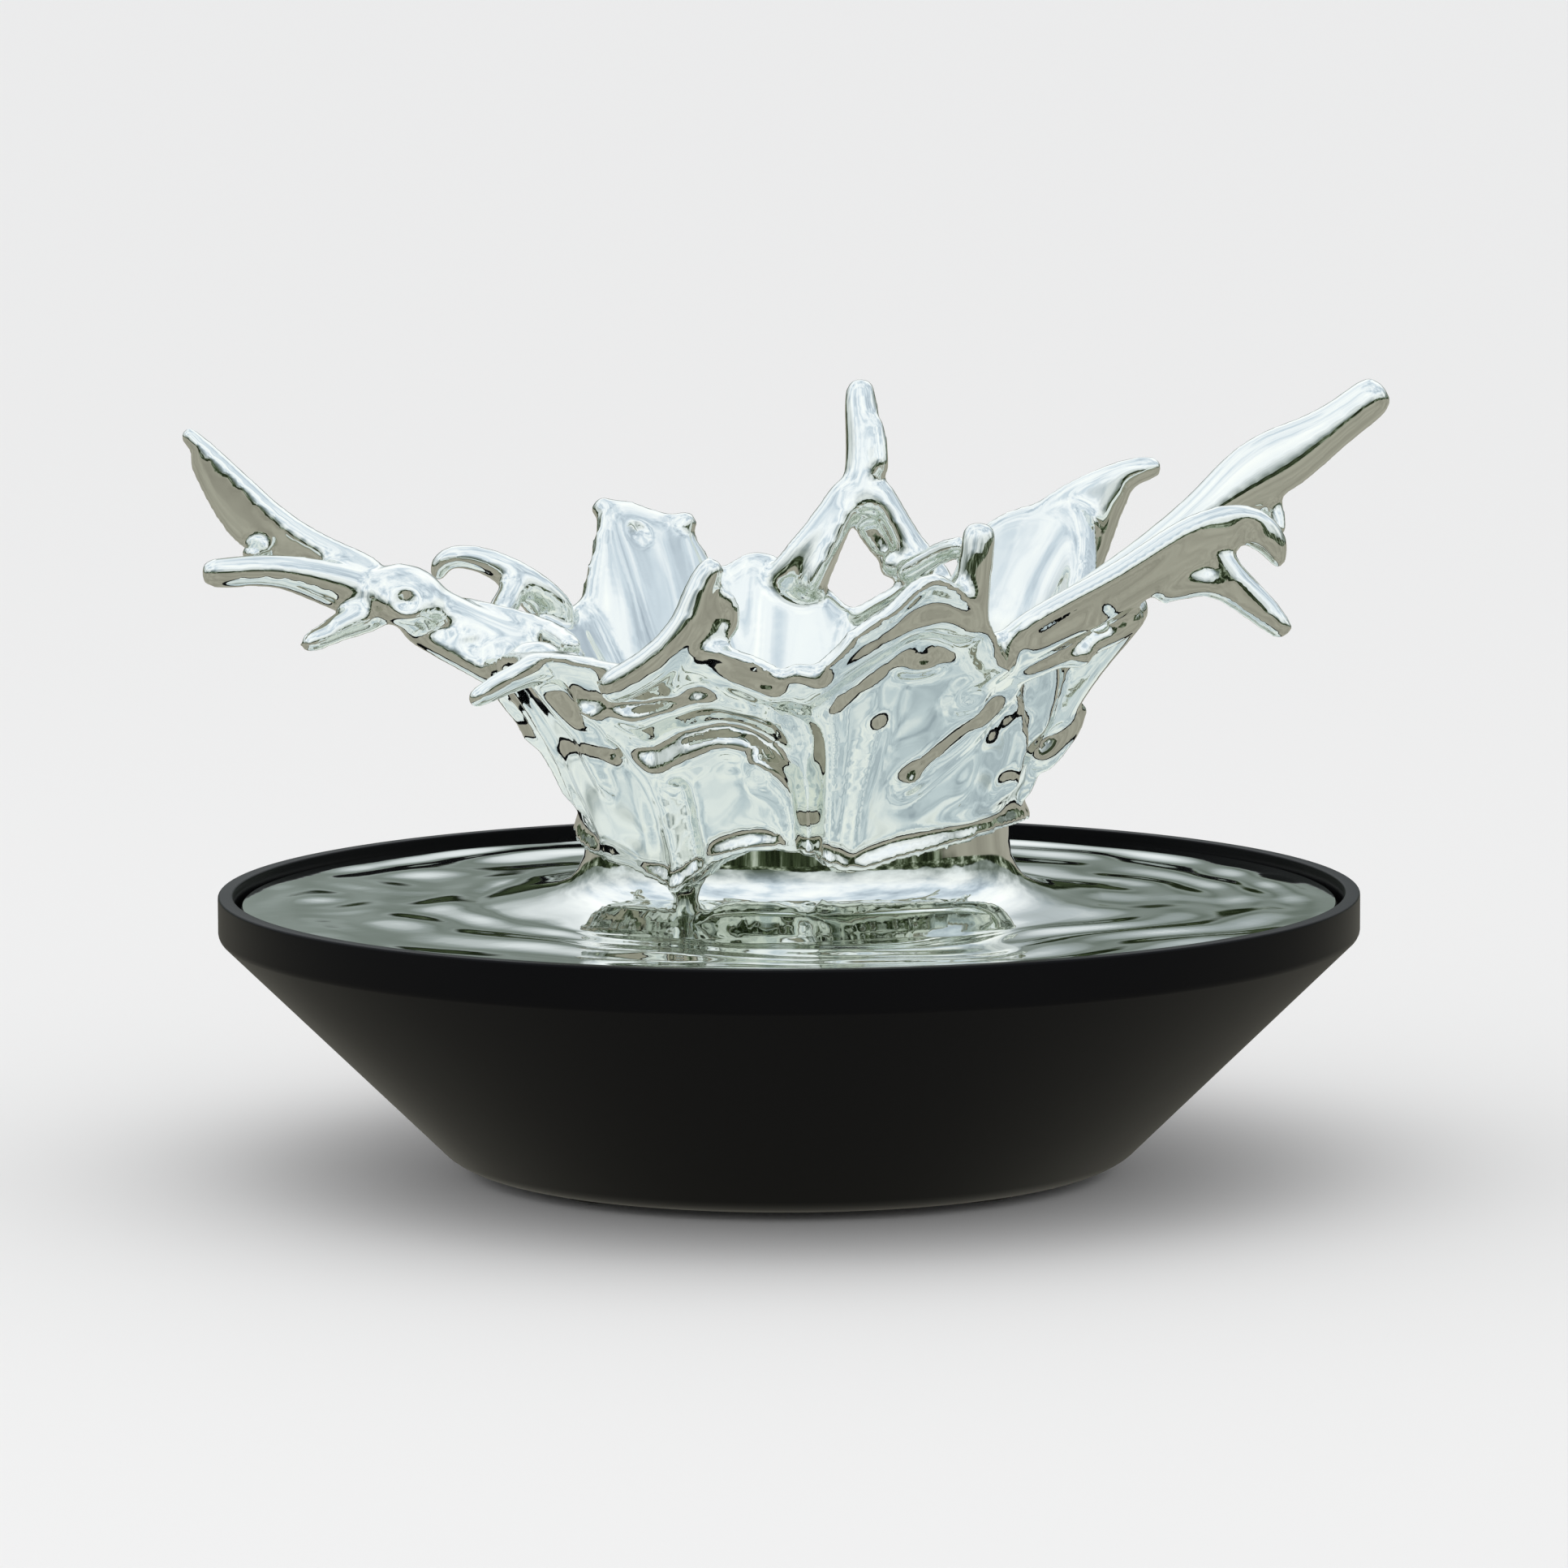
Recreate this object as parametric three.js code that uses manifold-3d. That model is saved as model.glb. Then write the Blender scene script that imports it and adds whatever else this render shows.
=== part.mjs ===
// A tabletop water fountain: a conical bowl holds the water and a small pump,
// and a polished disc with a splash of poured metal sits in the bowl's mouth.
// Water rises through the riser into the crown of the splash, spills over its lip,
// runs across the disc and falls back through the gap between the disc and the rim.
// Millimetres, +Z up, the bowl's axis on Z and its feet standing on z = 0.

import * as THREE from "three";
import { mergeVertices } from "three/addons/utils/BufferGeometryUtils.js";
import Module from "manifold-3d";

const wasm = await Module();
wasm.setup();

// ---------------------------------------------------------------- driving dimensions

const SEAM = 0.3; // clearance between two pieces that touch
const ROUND = 48; // sides of the large turned pieces
const SMALL_ROUND = 20; // sides of the small turned pieces

const PAD = { radius: 20, height: 2.5, circle: 95, bearings: [45, 135, 225, 315] };

const BOWL = {
  radius: 225,
  height: 108,
  wall: 6,
  rimWidth: 6,
  bandHeight: 16,
  baseRadius: 131,
  baseFillet: 20,
  bandFillet: 3.7,
  rimRounding: 1.2,
  innerFillet: 14,
};

const DISC = { rimGap: 3.1, belowRim: 4, thickness: 3, hem: 5, hemWall: 1.5 };

const BRACKET = { width: 30, reach: 14, height: 18, bearings: [30, 150, 270] };
const BUMPER = { width: 14, reach: 6, height: 2.5, fromEdge: 5 };

const CROWN = {
  neckRadius: 84,
  neckHeight: 28,
  lipRadius: 122,
  lipHeight: 100,
  wall: 5,
  flare: 1.4,
  columns: 48,
  rows: 6,
};

// The lip runs round the crown through these points: a bearing in degrees from +X,
// how far it stands outside the lip radius, and how far above the lip height.
const LIP = [
  [0, -2, 0],
  [20, 0, 0],
  [45, 6, 12],
  [70, 6, 8],
  [82, 6, -2],
  [95, 6, 8],
  [105, 4, 3],
  [122, 8, 12],
  [150, 0, 8],
  [180, -4, 0],
  [205, 0, -6],
  [225, 2, -8],
  [242, 8, -4],
  [257, 6, 12],
  [271, 4, 1],
  [282, 6, 22],
  [293, 6, 34],
  [304, 2, 22],
  [320, -12, 4],
  [340, -6, 2],
];

const COLLAR = { reach: 20, height: 24, edge: 1.2 };
const STUD = { radius: 2, hole: 2.3, depth: 12, tail: 12, bearings: [90, 210, 330] };
const STUD_NUT = { acrossCorners: 8, height: 4 };

const NOZZLE = {
  flangeRadius: 17,
  flangeHeight: 3,
  body: 10,
  spout: 9,
  spoutHeight: 8,
  bore: 6,
  socketDepth: 10,
  below: 20,
};
const GASKET = { radius: 16, thickness: 1.5 };
const NOZZLE_NUT = { acrossCorners: 34, height: 6 };
const SLIP = 0.3; // slip fit of the riser in the nozzle and on the pump's spigot
const RISER = { wall: 2 };

const CUP = { height: 9, foot: 10, neck: 4, stud: 4, studHeight: 4, inset: 9 };
const PUMP = {
  motorLength: 60,
  width: 48,
  height: 48,
  axisHeight: 24,
  voluteLength: 20,
  voluteWall: 3,
  chamber: 20,
  rotorWell: 9.8,
  wellEnd: 10,
  spigot: 6,
  spigotBore: 4,
  spigotShare: 0.47, // how far up the riser the spigot reaches
  stubLength: 5,
  eye: 8,
};
const SEAL = { radius: 21.6, section: 0.9, groove: 1.3, sides: 24 };
const ROTOR = { radius: 9.2, endGap: 2 };
const SHAFT = { radius: 1.5, running: 0.1, socket: 0.3, seat: 2 };
const IMPELLER = { radius: 16, disc: 2, hub: 4, vane: 6, vaneWidth: 1.6, vanes: 6 };
const STRAINER = { length: 30, wall: 2, slots: 6, slotWidth: 3, slotHeight: 34 };
const DIAL = { radius: 9, height: 4, shaft: 3, shutter: 8, shutterHeight: 2 };

const GLAND = {
  wallRadius: 175,
  radius: 6,
  flange: 10,
  flangeHeight: 3,
  inside: 16,
  outside: 7,
  seat: 0.8, // the flat seal and flange bridge the round wall
};
const GLAND_NUT = { acrossCorners: 19, height: 4 };
const GLAND_SEAL = { radius: 9.5, thickness: 1.5 };
const LEAD = { radius: 2.5, boss: 5, bossLength: 4, arcPieces: 4, steps: 44 };

// ---------------------------------------------------------------- levels worked out from them

const bowlBottom = PAD.height + SEAM;
const rimLevel = bowlBottom + BOWL.height;
const floorLevel = bowlBottom + BOWL.wall;
const discLevel = rimLevel - DISC.belowRim;
const discUnder = discLevel - DISC.thickness;
const discRadius = BOWL.radius - BOWL.rimWidth - DISC.rimGap;
const mouthRadius = BOWL.radius - BOWL.rimWidth;
const bandBottom = rimLevel - BOWL.bandHeight;

// The cone's direction and outward normal in the plane of radius and height.
const coneRun = BOWL.radius - BOWL.baseRadius;
const coneRise = bandBottom - bowlBottom;
const coneLength = Math.hypot(coneRun, coneRise);
const coneAlong = new THREE.Vector2(coneRun / coneLength, coneRise / coneLength);
const coneOut = new THREE.Vector2(coneAlong.y, -coneAlong.x);

// Radius of the cone's inner face at a level.
function innerConeRadius(level) {
  const start = new THREE.Vector2(BOWL.baseRadius, bowlBottom).addScaledVector(coneOut, -BOWL.wall);
  return start.x + ((level - start.y) * coneAlong.x) / coneAlong.y;
}

// ---------------------------------------------------------------- materials

const look = (color, roughness, metalness) =>
  new THREE.MeshStandardMaterial({ color, roughness, metalness });

const MATERIAL = {
  polishedSteel: look("#d5dade", 0.04, 1),
  satinBlack: look("#17181b", 0.45, 0),
  rubber: look("#151515", 0.9, 0),
  pumpPlastic: look("#1d2024", 0.55, 0),
  pumpGrey: look("#5b6066", 0.5, 0),
  magnet: look("#3a3a3c", 0.6, 0.4),
  ceramic: look("#eeeae2", 0.25, 0),
  clearTube: look("#c8d2d6", 0.2, 0),
  plainSteel: look("#b4b8bb", 0.3, 1),
};

// ---------------------------------------------------------------- solids

function solidOf(geometry) {
  const plain = geometry.clone();
  plain.deleteAttribute("normal");
  plain.deleteAttribute("uv");
  const merged = mergeVertices(plain, 1e-4);
  return new wasm.Manifold(
    new wasm.Mesh({
      numProp: 3,
      vertProperties: new Float32Array(merged.attributes.position.array),
      triVerts: new Uint32Array(merged.index.array),
    }),
  );
}

function geometryOf(solid) {
  const mesh = solid.getMesh();
  const geometry = new THREE.BufferGeometry();
  geometry.setAttribute("position", new THREE.BufferAttribute(mesh.vertProperties, 3));
  geometry.setIndex(new THREE.BufferAttribute(mesh.triVerts, 1));
  geometry.computeVertexNormals();
  return geometry;
}

function joined(...geometries) {
  return geometryOf(geometries.map(solidOf).reduce((whole, next) => whole.add(next)));
}

function cut(geometry, ...tools) {
  return geometryOf(tools.map(solidOf).reduce((whole, tool) => whole.subtract(tool), solidOf(geometry)));
}

// The largest of the separate pieces that a cut leaves.
function mainPiece(geometry) {
  const pieces = solidOf(geometry).decompose();
  const largest = pieces.reduce((best, next) => (next.volume() > best.volume() ? next : best));
  return geometryOf(largest);
}

// A turned solid about Z from [radius, height] points that run up the outside.
function turned(points, sides = ROUND) {
  const profile = points.map(([radius, height]) => new THREE.Vector2(radius, height));
  return new THREE.LatheGeometry(profile, sides).rotateX(Math.PI / 2);
}

function cylinder(radius, bottom, top, sides = SMALL_ROUND) {
  return new THREE.CylinderGeometry(radius, radius, top - bottom, sides)
    .rotateX(Math.PI / 2)
    .translate(0, 0, (bottom + top) / 2);
}

function tube(outer, inner, bottom, top, sides = SMALL_ROUND) {
  const profile = [[inner, bottom], [outer, bottom], [outer, top], [inner, top], [inner, bottom]];
  return turned(profile, sides);
}

function box(x0, x1, y0, y1, z0, z1) {
  return new THREE.BoxGeometry(x1 - x0, y1 - y0, z1 - z0).translate(
    (x0 + x1) / 2,
    (y0 + y1) / 2,
    (z0 + z1) / 2,
  );
}

const radians = THREE.MathUtils.degToRad;

// Places a geometry that was made at the origin at a radius and bearing, facing outwards.
function atBearing(geometry, radius, bearing) {
  return geometry.clone().translate(radius, 0, 0).rotateZ(radians(bearing));
}

// Turns a list of corners [radius, height, rounding] into a profile with round corners.
function roundedProfile(corners, steps = 3) {
  return corners.flatMap(([x, y, rounding], index) => {
    if (!rounding) return [[x, y]];
    const corner = new THREE.Vector2(x, y);
    const before = new THREE.Vector2(...corners[index - 1]).sub(corner).normalize();
    const after = new THREE.Vector2(...corners[index + 1]).sub(corner).normalize();
    const half = Math.acos(THREE.MathUtils.clamp(before.dot(after), -1, 1)) / 2;
    const middle = before.clone().add(after).normalize();
    const centre = corner.clone().addScaledVector(middle, rounding / Math.sin(half));
    const start = corner.clone().addScaledVector(before, rounding / Math.tan(half)).sub(centre);
    const sweep = Math.PI - 2 * half;
    const turn = Math.sign(-before.x * after.y + before.y * after.x);
    return Array.from({ length: steps + 1 }, (_, step) => {
      const point = start.clone().rotateAround(new THREE.Vector2(), (turn * sweep * step) / steps);
      return point.add(centre).toArray();
    });
  });
}

// ---------------------------------------------------------------- group of named meshes

const fountain = new THREE.Group();
fountain.name = "tabletop_fountain";

function addPiece(name, geometry, material) {
  const mesh = new THREE.Mesh(geometry, material);
  mesh.name = name;
  fountain.add(mesh);
  return geometry;
}

// ---------------------------------------------------------------- bowl, feet and disc supports

// The gland's hole runs square through the cone's wall at the back of the bowl.
const glandLevel = bowlBottom + ((GLAND.wallRadius - BOWL.baseRadius) * coneRise) / coneRun;

// Places a piece made along +Z so that +Z leaves the wall outwards at the gland.
function atGland(geometry) {
  const tilt = Math.atan2(coneOut.x, coneOut.y);
  return geometry.clone().rotateX(-tilt).translate(0, GLAND.wallRadius, glandLevel);
}

function addBowl() {
  const shellProfile = roundedProfile([
    [0, bowlBottom],
    [BOWL.baseRadius, bowlBottom, BOWL.baseFillet],
    [BOWL.radius, bandBottom, BOWL.bandFillet],
    [BOWL.radius, rimLevel, BOWL.rimRounding],
    [mouthRadius, rimLevel, BOWL.rimRounding],
    [mouthRadius, mouthKnee()],
    [innerConeRadius(floorLevel), floorLevel, BOWL.innerFillet],
    [0, floorLevel],
  ]);
  const hole = atGland(cylinder(GLAND.radius + SEAM, -2 * BOWL.wall, BOWL.wall));
  addPiece("bowl_shell", cut(turned(shellProfile), hole), MATERIAL.satinBlack);
}

// Level at which the bowl's upright inner face meets the cone's inner face.
function mouthKnee() {
  const radiusAtFloor = innerConeRadius(floorLevel);
  return floorLevel + ((mouthRadius - radiusAtFloor) * coneAlong.y) / coneAlong.x;
}

function addFeet() {
  PAD.bearings.forEach((bearing, index) => {
    const pad = cylinder(PAD.radius, 0, PAD.height);
    addPiece("foot_pad_" + (index + 1), atBearing(pad, PAD.circle, bearing), MATERIAL.rubber);
  });
}

// Each bracket is a small shelf fixed to the bowl's inner face, with a rubber bumper on top.
function addDiscSupports() {
  const wallBody = turned([
    [0, floorLevel],
    [innerConeRadius(floorLevel) - SEAM, floorLevel],
    [mouthRadius - SEAM, mouthKnee()],
    [mouthRadius - SEAM, rimLevel],
    [0, rimLevel],
  ]);
  const bumperTop = discUnder - SEAM;
  const shelfTop = bumperTop - BUMPER.height - SEAM;
  const shelfInner = discRadius - DISC.hemWall - BRACKET.reach;
  const bumperInner = discRadius - DISC.hemWall - BUMPER.fromEdge - BUMPER.reach;
  BRACKET.bearings.forEach((bearing, index) => {
    const block = box(
      shelfInner,
      BOWL.radius,
      -BRACKET.width / 2,
      BRACKET.width / 2,
      shelfTop - BRACKET.height,
      shelfTop,
    );
    const placedBlock = solidOf(atBearing(block, 0, bearing));
    const shelf = geometryOf(placedBlock.intersect(solidOf(wallBody)));
    const bumper = box(
      bumperInner,
      bumperInner + BUMPER.reach,
      -BUMPER.width / 2,
      BUMPER.width / 2,
      shelfTop + SEAM,
      bumperTop,
    );
    addPiece("disc_bracket_" + (index + 1), shelf, MATERIAL.satinBlack);
    addPiece("disc_bumper_" + (index + 1), atBearing(bumper, 0, bearing), MATERIAL.rubber);
  });
}

// ---------------------------------------------------------------- disc and its centre fitting

function addDisc() {
  const hemBottom = discLevel - DISC.hem;
  const plate = turned(
    roundedProfile([
      [0, discUnder],
      [discRadius - DISC.hemWall, discUnder],
      [discRadius - DISC.hemWall, hemBottom],
      [discRadius, hemBottom],
      [discRadius, discLevel, DISC.thickness / 2],
      [0, discLevel],
    ]),
  );
  const holes = STUD.bearings.map((bearing) =>
    atBearing(cylinder(STUD.hole, discUnder - 1, discLevel + 1), studCircle, bearing),
  );
  const centreHole = cylinder(NOZZLE.body + SEAM, discUnder - 1, discLevel + 1);
  addPiece("water_disc", cut(plate, centreHole, ...holes), MATERIAL.polishedSteel);
}

const nozzleFlangeBottom = discLevel + GASKET.thickness + 2 * SEAM;
const nozzleBottom = discLevel - NOZZLE.below;
const riserRadius = PUMP.spigot + SLIP + RISER.wall;
const socketTop = nozzleBottom + NOZZLE.socketDepth;

function addNozzle() {
  const flangeTop = nozzleFlangeBottom + NOZZLE.flangeHeight;
  const outside = turned([
    [0, nozzleBottom],
    [NOZZLE.body, nozzleBottom],
    [NOZZLE.body, nozzleFlangeBottom],
    [NOZZLE.flangeRadius, nozzleFlangeBottom],
    [NOZZLE.flangeRadius, flangeTop],
    [NOZZLE.spout, flangeTop],
    [NOZZLE.spout, flangeTop + NOZZLE.spoutHeight],
    [0, flangeTop + NOZZLE.spoutHeight],
  ], SMALL_ROUND);
  const bore = cylinder(NOZZLE.bore, nozzleBottom - 1, flangeTop + NOZZLE.spoutHeight + 1);
  const socket = cylinder(riserRadius + SLIP, nozzleBottom - 1, socketTop);
  addPiece("nozzle", cut(outside, bore, socket), MATERIAL.pumpPlastic);

  const gasketBottom = discLevel + SEAM;
  const gasket = tube(GASKET.radius, NOZZLE.body + SEAM, gasketBottom, gasketBottom + GASKET.thickness);
  addPiece("nozzle_gasket", gasket, MATERIAL.rubber);

  const nutTop = discUnder - SEAM;
  const nut = cut(
    cylinder(NOZZLE_NUT.acrossCorners / 2, nutTop - NOZZLE_NUT.height, nutTop, 6),
    cylinder(NOZZLE.body + SEAM, nutTop - NOZZLE_NUT.height - 1, nutTop + 1),
  );
  addPiece("nozzle_nut", nut, MATERIAL.pumpGrey);
}

// ---------------------------------------------------------------- crown of the splash

const studCircle = CROWN.neckRadius - CROWN.wall / 2;

// The closed curve of the crown's outer lip, in heights above the disc.
const lipCurve = new THREE.CatmullRomCurve3(
  LIP.map(([bearing, out, rise]) => {
    const radius = CROWN.lipRadius + out;
    const angle = radians(bearing);
    return new THREE.Vector3(
      radius * Math.cos(angle),
      radius * Math.sin(angle),
      CROWN.lipHeight + rise,
    );
  }),
  true,
);

const lipSamples = lipCurve.getPoints(720).map((point) => ({
  angle: THREE.MathUtils.euclideanModulo(Math.atan2(point.y, point.x), 2 * Math.PI),
  radius: Math.hypot(point.x, point.y),
  height: point.z,
}));
lipSamples.sort((a, b) => a.angle - b.angle);

// The lip's radius and height at a bearing in degrees.
function lipAt(bearing) {
  const angle = THREE.MathUtils.euclideanModulo(radians(bearing), 2 * Math.PI);
  const nearest = lipSamples.reduce((best, next) =>
    Math.abs(next.angle - angle) < Math.abs(best.angle - angle) ? next : best,
  );
  return nearest;
}

// The crown is a tube below its neck and flares out above it to the lip.
// grown > 0 gives the same shape with every face moved out by that much.
function crownShape(grown = 0) {
  const outside = [];
  const inside = [];
  for (let row = 0; row <= CROWN.rows; row += 1) {
    outside.push(new THREE.Vector2(2, row));
    inside.unshift(new THREE.Vector2(1, row));
  }
  const closed = [...outside, ...inside, outside[0]];
  const shape = new THREE.LatheGeometry(closed, CROWN.columns).rotateX(Math.PI / 2);
  const points = shape.attributes.position;
  for (let index = 0; index < points.count; index += 1) {
    const x = points.getX(index);
    const y = points.getY(index);
    const row = points.getZ(index);
    const isOutside = Math.hypot(x, y) > 1.5;
    const angle = Math.atan2(y, x);
    const lip = lipAt(THREE.MathUtils.radToDeg(angle));
    const up = (row - 1) / (CROWN.rows - 1);
    const flare = up > 0 ? Math.pow(up, CROWN.flare) : 0;
    const thickness = CROWN.wall * (up > 0 ? 1 + 0.4 * up : 1);
    const skin = isOutside ? grown : -thickness - grown;
    const radius = CROWN.neckRadius + (lip.radius - CROWN.neckRadius) * flare + skin;
    const height = up < 0 ? SEAM - grown : CROWN.neckHeight + (lip.height - CROWN.neckHeight) * up;
    const lift = row === CROWN.rows ? grown : 0;
    points.setXYZ(index, radius * Math.cos(angle), radius * Math.sin(angle), discLevel + height + lift);
  }
  return shape;
}

function studHoles(radius, depth) {
  return STUD.bearings.map((bearing) =>
    atBearing(cylinder(radius, discLevel - 1, discLevel + depth), studCircle, bearing),
  );
}

function addCrown() {
  const crown = cut(crownShape(), ...studHoles(STUD.hole, STUD.depth + SEAM));
  addPiece("crown_wall", crown, MATERIAL.polishedSteel);
}

// The collar is the swell of the surface round the crown's foot.
function addFootCollar() {
  const inner = CROWN.neckRadius + SEAM;
  const outer = inner + COLLAR.reach;
  const bottom = discLevel + SEAM;
  const top = discLevel + COLLAR.height;
  const swell = new THREE.QuadraticBezierCurve(
    new THREE.Vector2(outer, bottom + COLLAR.edge),
    new THREE.Vector2(inner + COLLAR.edge, bottom + COLLAR.edge),
    new THREE.Vector2(inner + COLLAR.edge, top),
  );
  const profile = [
    [inner, bottom],
    [outer, bottom],
    ...swell.getPoints(4).map((point) => point.toArray()),
    [inner, top],
    [inner, bottom],
  ];
  addPiece("foot_collar", turned(profile, CROWN.columns), MATERIAL.polishedSteel);
}

function addStuds() {
  const nutTop = discUnder - SEAM;
  STUD.bearings.forEach((bearing, index) => {
    const stud = cylinder(STUD.radius, discUnder - STUD.tail, discLevel + STUD.depth, 12);
    const nut = cut(
      cylinder(STUD_NUT.acrossCorners / 2, nutTop - STUD_NUT.height, nutTop, 6),
      cylinder(STUD.hole, nutTop - STUD_NUT.height - 1, nutTop + 1, 12),
    );
    addPiece("splash_stud_" + (index + 1), atBearing(stud, studCircle, bearing), MATERIAL.plainSteel);
    addPiece("splash_nut_" + (index + 1), atBearing(nut, studCircle, bearing), MATERIAL.plainSteel);
  });
}

// ---------------------------------------------------------------- limbs of the splash

// Every limb springs from the lip at a bearing. A station is
// [out from the lip, across to the left seen from the axis, up from the lip, width, thickness],
// and face is the direction, in the same three terms, that the limb's flat side looks.
const LIMBS = {
  left_stem: {
    bearing: 180,
    face: [0, 1, 0.3],
    stations: [
      [-10, 8, -10, 30, 20],
      [4, 6, -4, 28, 20],
      [20, 2, 6, 26, 18],
      [33, 0, 14, 26, 18],
      [50, 0, 18, 22, 16],
      [54, 0, 19, 10, 8],
    ],
  },
  left_upper_arm: {
    bearing: 180,
    face: [0, 1, 0.2],
    stations: [
      [44, -4, 22, 10, 8],
      [62, -8, 29, 15, 9],
      [81, -12, 38, 18, 9],
      [97, -16, 49, 17, 9],
      [109, -20, 61, 14, 8],
      [117, -22, 72, 9, 6],
      [119, -22, 75, 3, 3],
    ],
  },
  left_lower_arm: {
    bearing: 180,
    face: [0, 1, 0.3],
    stations: [
      [42, 6, 14, 10, 8],
      [64, 10, 18, 13, 9],
      [81, 16, 25, 13, 9],
      [95, 20, 28, 12, 9],
      [107, 22, 30, 10, 8],
      [110, 22, 30, 4, 4],
    ],
  },
  left_fork: {
    bearing: 180,
    face: [0, 1, 0],
    stations: [
      [42, 10, 10, 8, 6],
      [52, 14, 8, 9, 6],
      [61, 21, 5, 8, 6],
      [70, 28, 1, 5, 4],
    ],
  },
  left_hook: {
    bearing: 150,
    face: [0, 1, 0],
    stations: [
      [-8, 0, -6, 22, 12],
      [7, 2, 8, 15, 10],
      [19, 3, 17, 12, 9],
      [30, 5, 18, 11, 9],
      [37, 7, 12, 7, 6],
      [38, 7, 9, 3, 3],
    ],
  },
  left_front_tongue: {
    bearing: 207,
    face: [0, 0.3, 1],
    stations: [
      [-9, 0, -3, 18, 8],
      [4, -1, -3, 13, 7],
      [12, -1, -5, 9, 6],
      [18, -1, -8, 4, 4],
    ],
  },
  back_left_petal: {
    bearing: 115,
    face: [1, 0, -0.3],
    stations: [
      [-4, -4, -12, 58, 8],
      [9, -2, 8, 50, 8],
      [20, -4, 24, 42, 8],
      [27, -6, 33, 36, 8],
      [29, -6, 37, 20, 5],
    ],
  },
  back_centre_petal: {
    bearing: 95,
    face: [1, 0, -0.2],
    stations: [
      [-5, 1, -12, 34, 8],
      [3, 1, 2, 30, 8],
      [6, 0, 11, 18, 7],
      [6, 0, 14, 8, 5],
    ],
  },
  back_spire: {
    bearing: 77,
    face: [1, 0, 0],
    stations: [
      [5, 3, 44, 20, 11],
      [6, 1, 50, 17, 11],
      [8, 0, 61, 14, 11],
      [9, 0, 77, 13, 11],
      [10, 2, 88, 12, 10],
      [10, 3, 92, 5, 5],
    ],
  },
  spire_left_leg: {
    bearing: 83,
    face: [1, 0, 0],
    stations: [
      [-4, 24, -8, 20, 9],
      [0, 19, 6, 17, 9],
      [3, 9, 22, 15, 9],
      [5, -2, 37, 12, 9],
      [6, -9, 46, 8, 7],
    ],
  },
  spire_right_leg: {
    bearing: 68,
    face: [1, 0, 0],
    stations: [
      [-2, -6, -12, 18, 9],
      [6, -3, 4, 13, 9],
      [10, 1, 18, 11, 9],
      [9, 8, 32, 10, 9],
      [6, 15, 40, 8, 7],
    ],
  },
  back_right_petal: {
    bearing: 45,
    face: [1, 0, -0.3],
    stations: [
      [-4, -2, -14, 56, 8],
      [8, 0, 6, 52, 8],
      [17, -5, 19, 44, 8],
      [28, -17, 33, 24, 8],
      [39, -30, 45, 13, 7],
      [46, -40, 50, 7, 5],
    ],
  },
  right_long_arm: {
    bearing: 10,
    face: [0, 1, 0.2],
    stations: [
      [-10, -4, -4, 26, 16],
      [10, 0, 18, 23, 14],
      [29, 4, 37, 20, 13],
      [51, 6, 50, 18, 12],
      [69, 9, 60, 17, 11],
      [87, 12, 69, 16, 11],
      [106, 15, 82, 15, 10],
      [118, 17, 94, 10, 8],
      [120, 17, 98, 3, 3],
    ],
  },
  right_drop: {
    bearing: 10,
    face: [0, 1, 0],
    stations: [
      [69, 9, 54, 9, 7],
      [76, 7, 46, 8, 6],
      [79, 4, 34, 4, 4],
    ],
  },
  right_front_arm: {
    bearing: 333,
    face: [0, -1, 0.3],
    stations: [
      [-10, -4, -14, 44, 14],
      [11, 10, 2, 46, 13],
      [26, 19, 18, 30, 12],
      [44, 27, 32, 17, 11],
      [59, 32, 39, 16, 11],
      [71, 37, 45, 13, 10],
      [78, 43, 40, 9, 8],
      [77, 45, 34, 4, 4],
    ],
  },
  right_fork: {
    bearing: 333,
    face: [0, -1, 0.3],
    stations: [
      [46, 28, 30, 14, 9],
      [58, 30, 30, 15, 9],
      [69, 30, 26, 12, 8],
      [79, 29, 19, 8, 7],
      [87, 29, 12, 4, 4],
    ],
  },
  right_side_tongue: {
    bearing: 350,
    face: [0, 0.3, 1],
    stations: [
      [-24, 2, -40, 14, 8],
      [-10, 4, -33, 12, 8],
      [-5, 6, -28, 4, 4],
    ],
  },
  front_left_blade: {
    bearing: 245,
    face: [1, 0, 0.4],
    stations: [
      [-4, -16, -14, 16, 9],
      [3, -4, -5, 18, 9],
      [6, 10, 8, 16, 9],
      [4, 21, 20, 12, 8],
      [0, 25, 33, 10, 8],
      [-3, 25, 43, 8, 7],
      [-3, 25, 45, 3, 3],
    ],
  },
  front_right_blade: {
    bearing: 303,
    face: [1, 0, 0],
    stations: [
      [-4, -2, -18, 20, 9],
      [1, -2, 1, 14, 9],
      [4, -2, 16, 11, 8],
      [2, 0, 30, 8, 7],
      [2, 0, 33, 3, 3],
    ],
  },
};

const LIMB = { sides: 8, rows: 9 };

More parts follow.
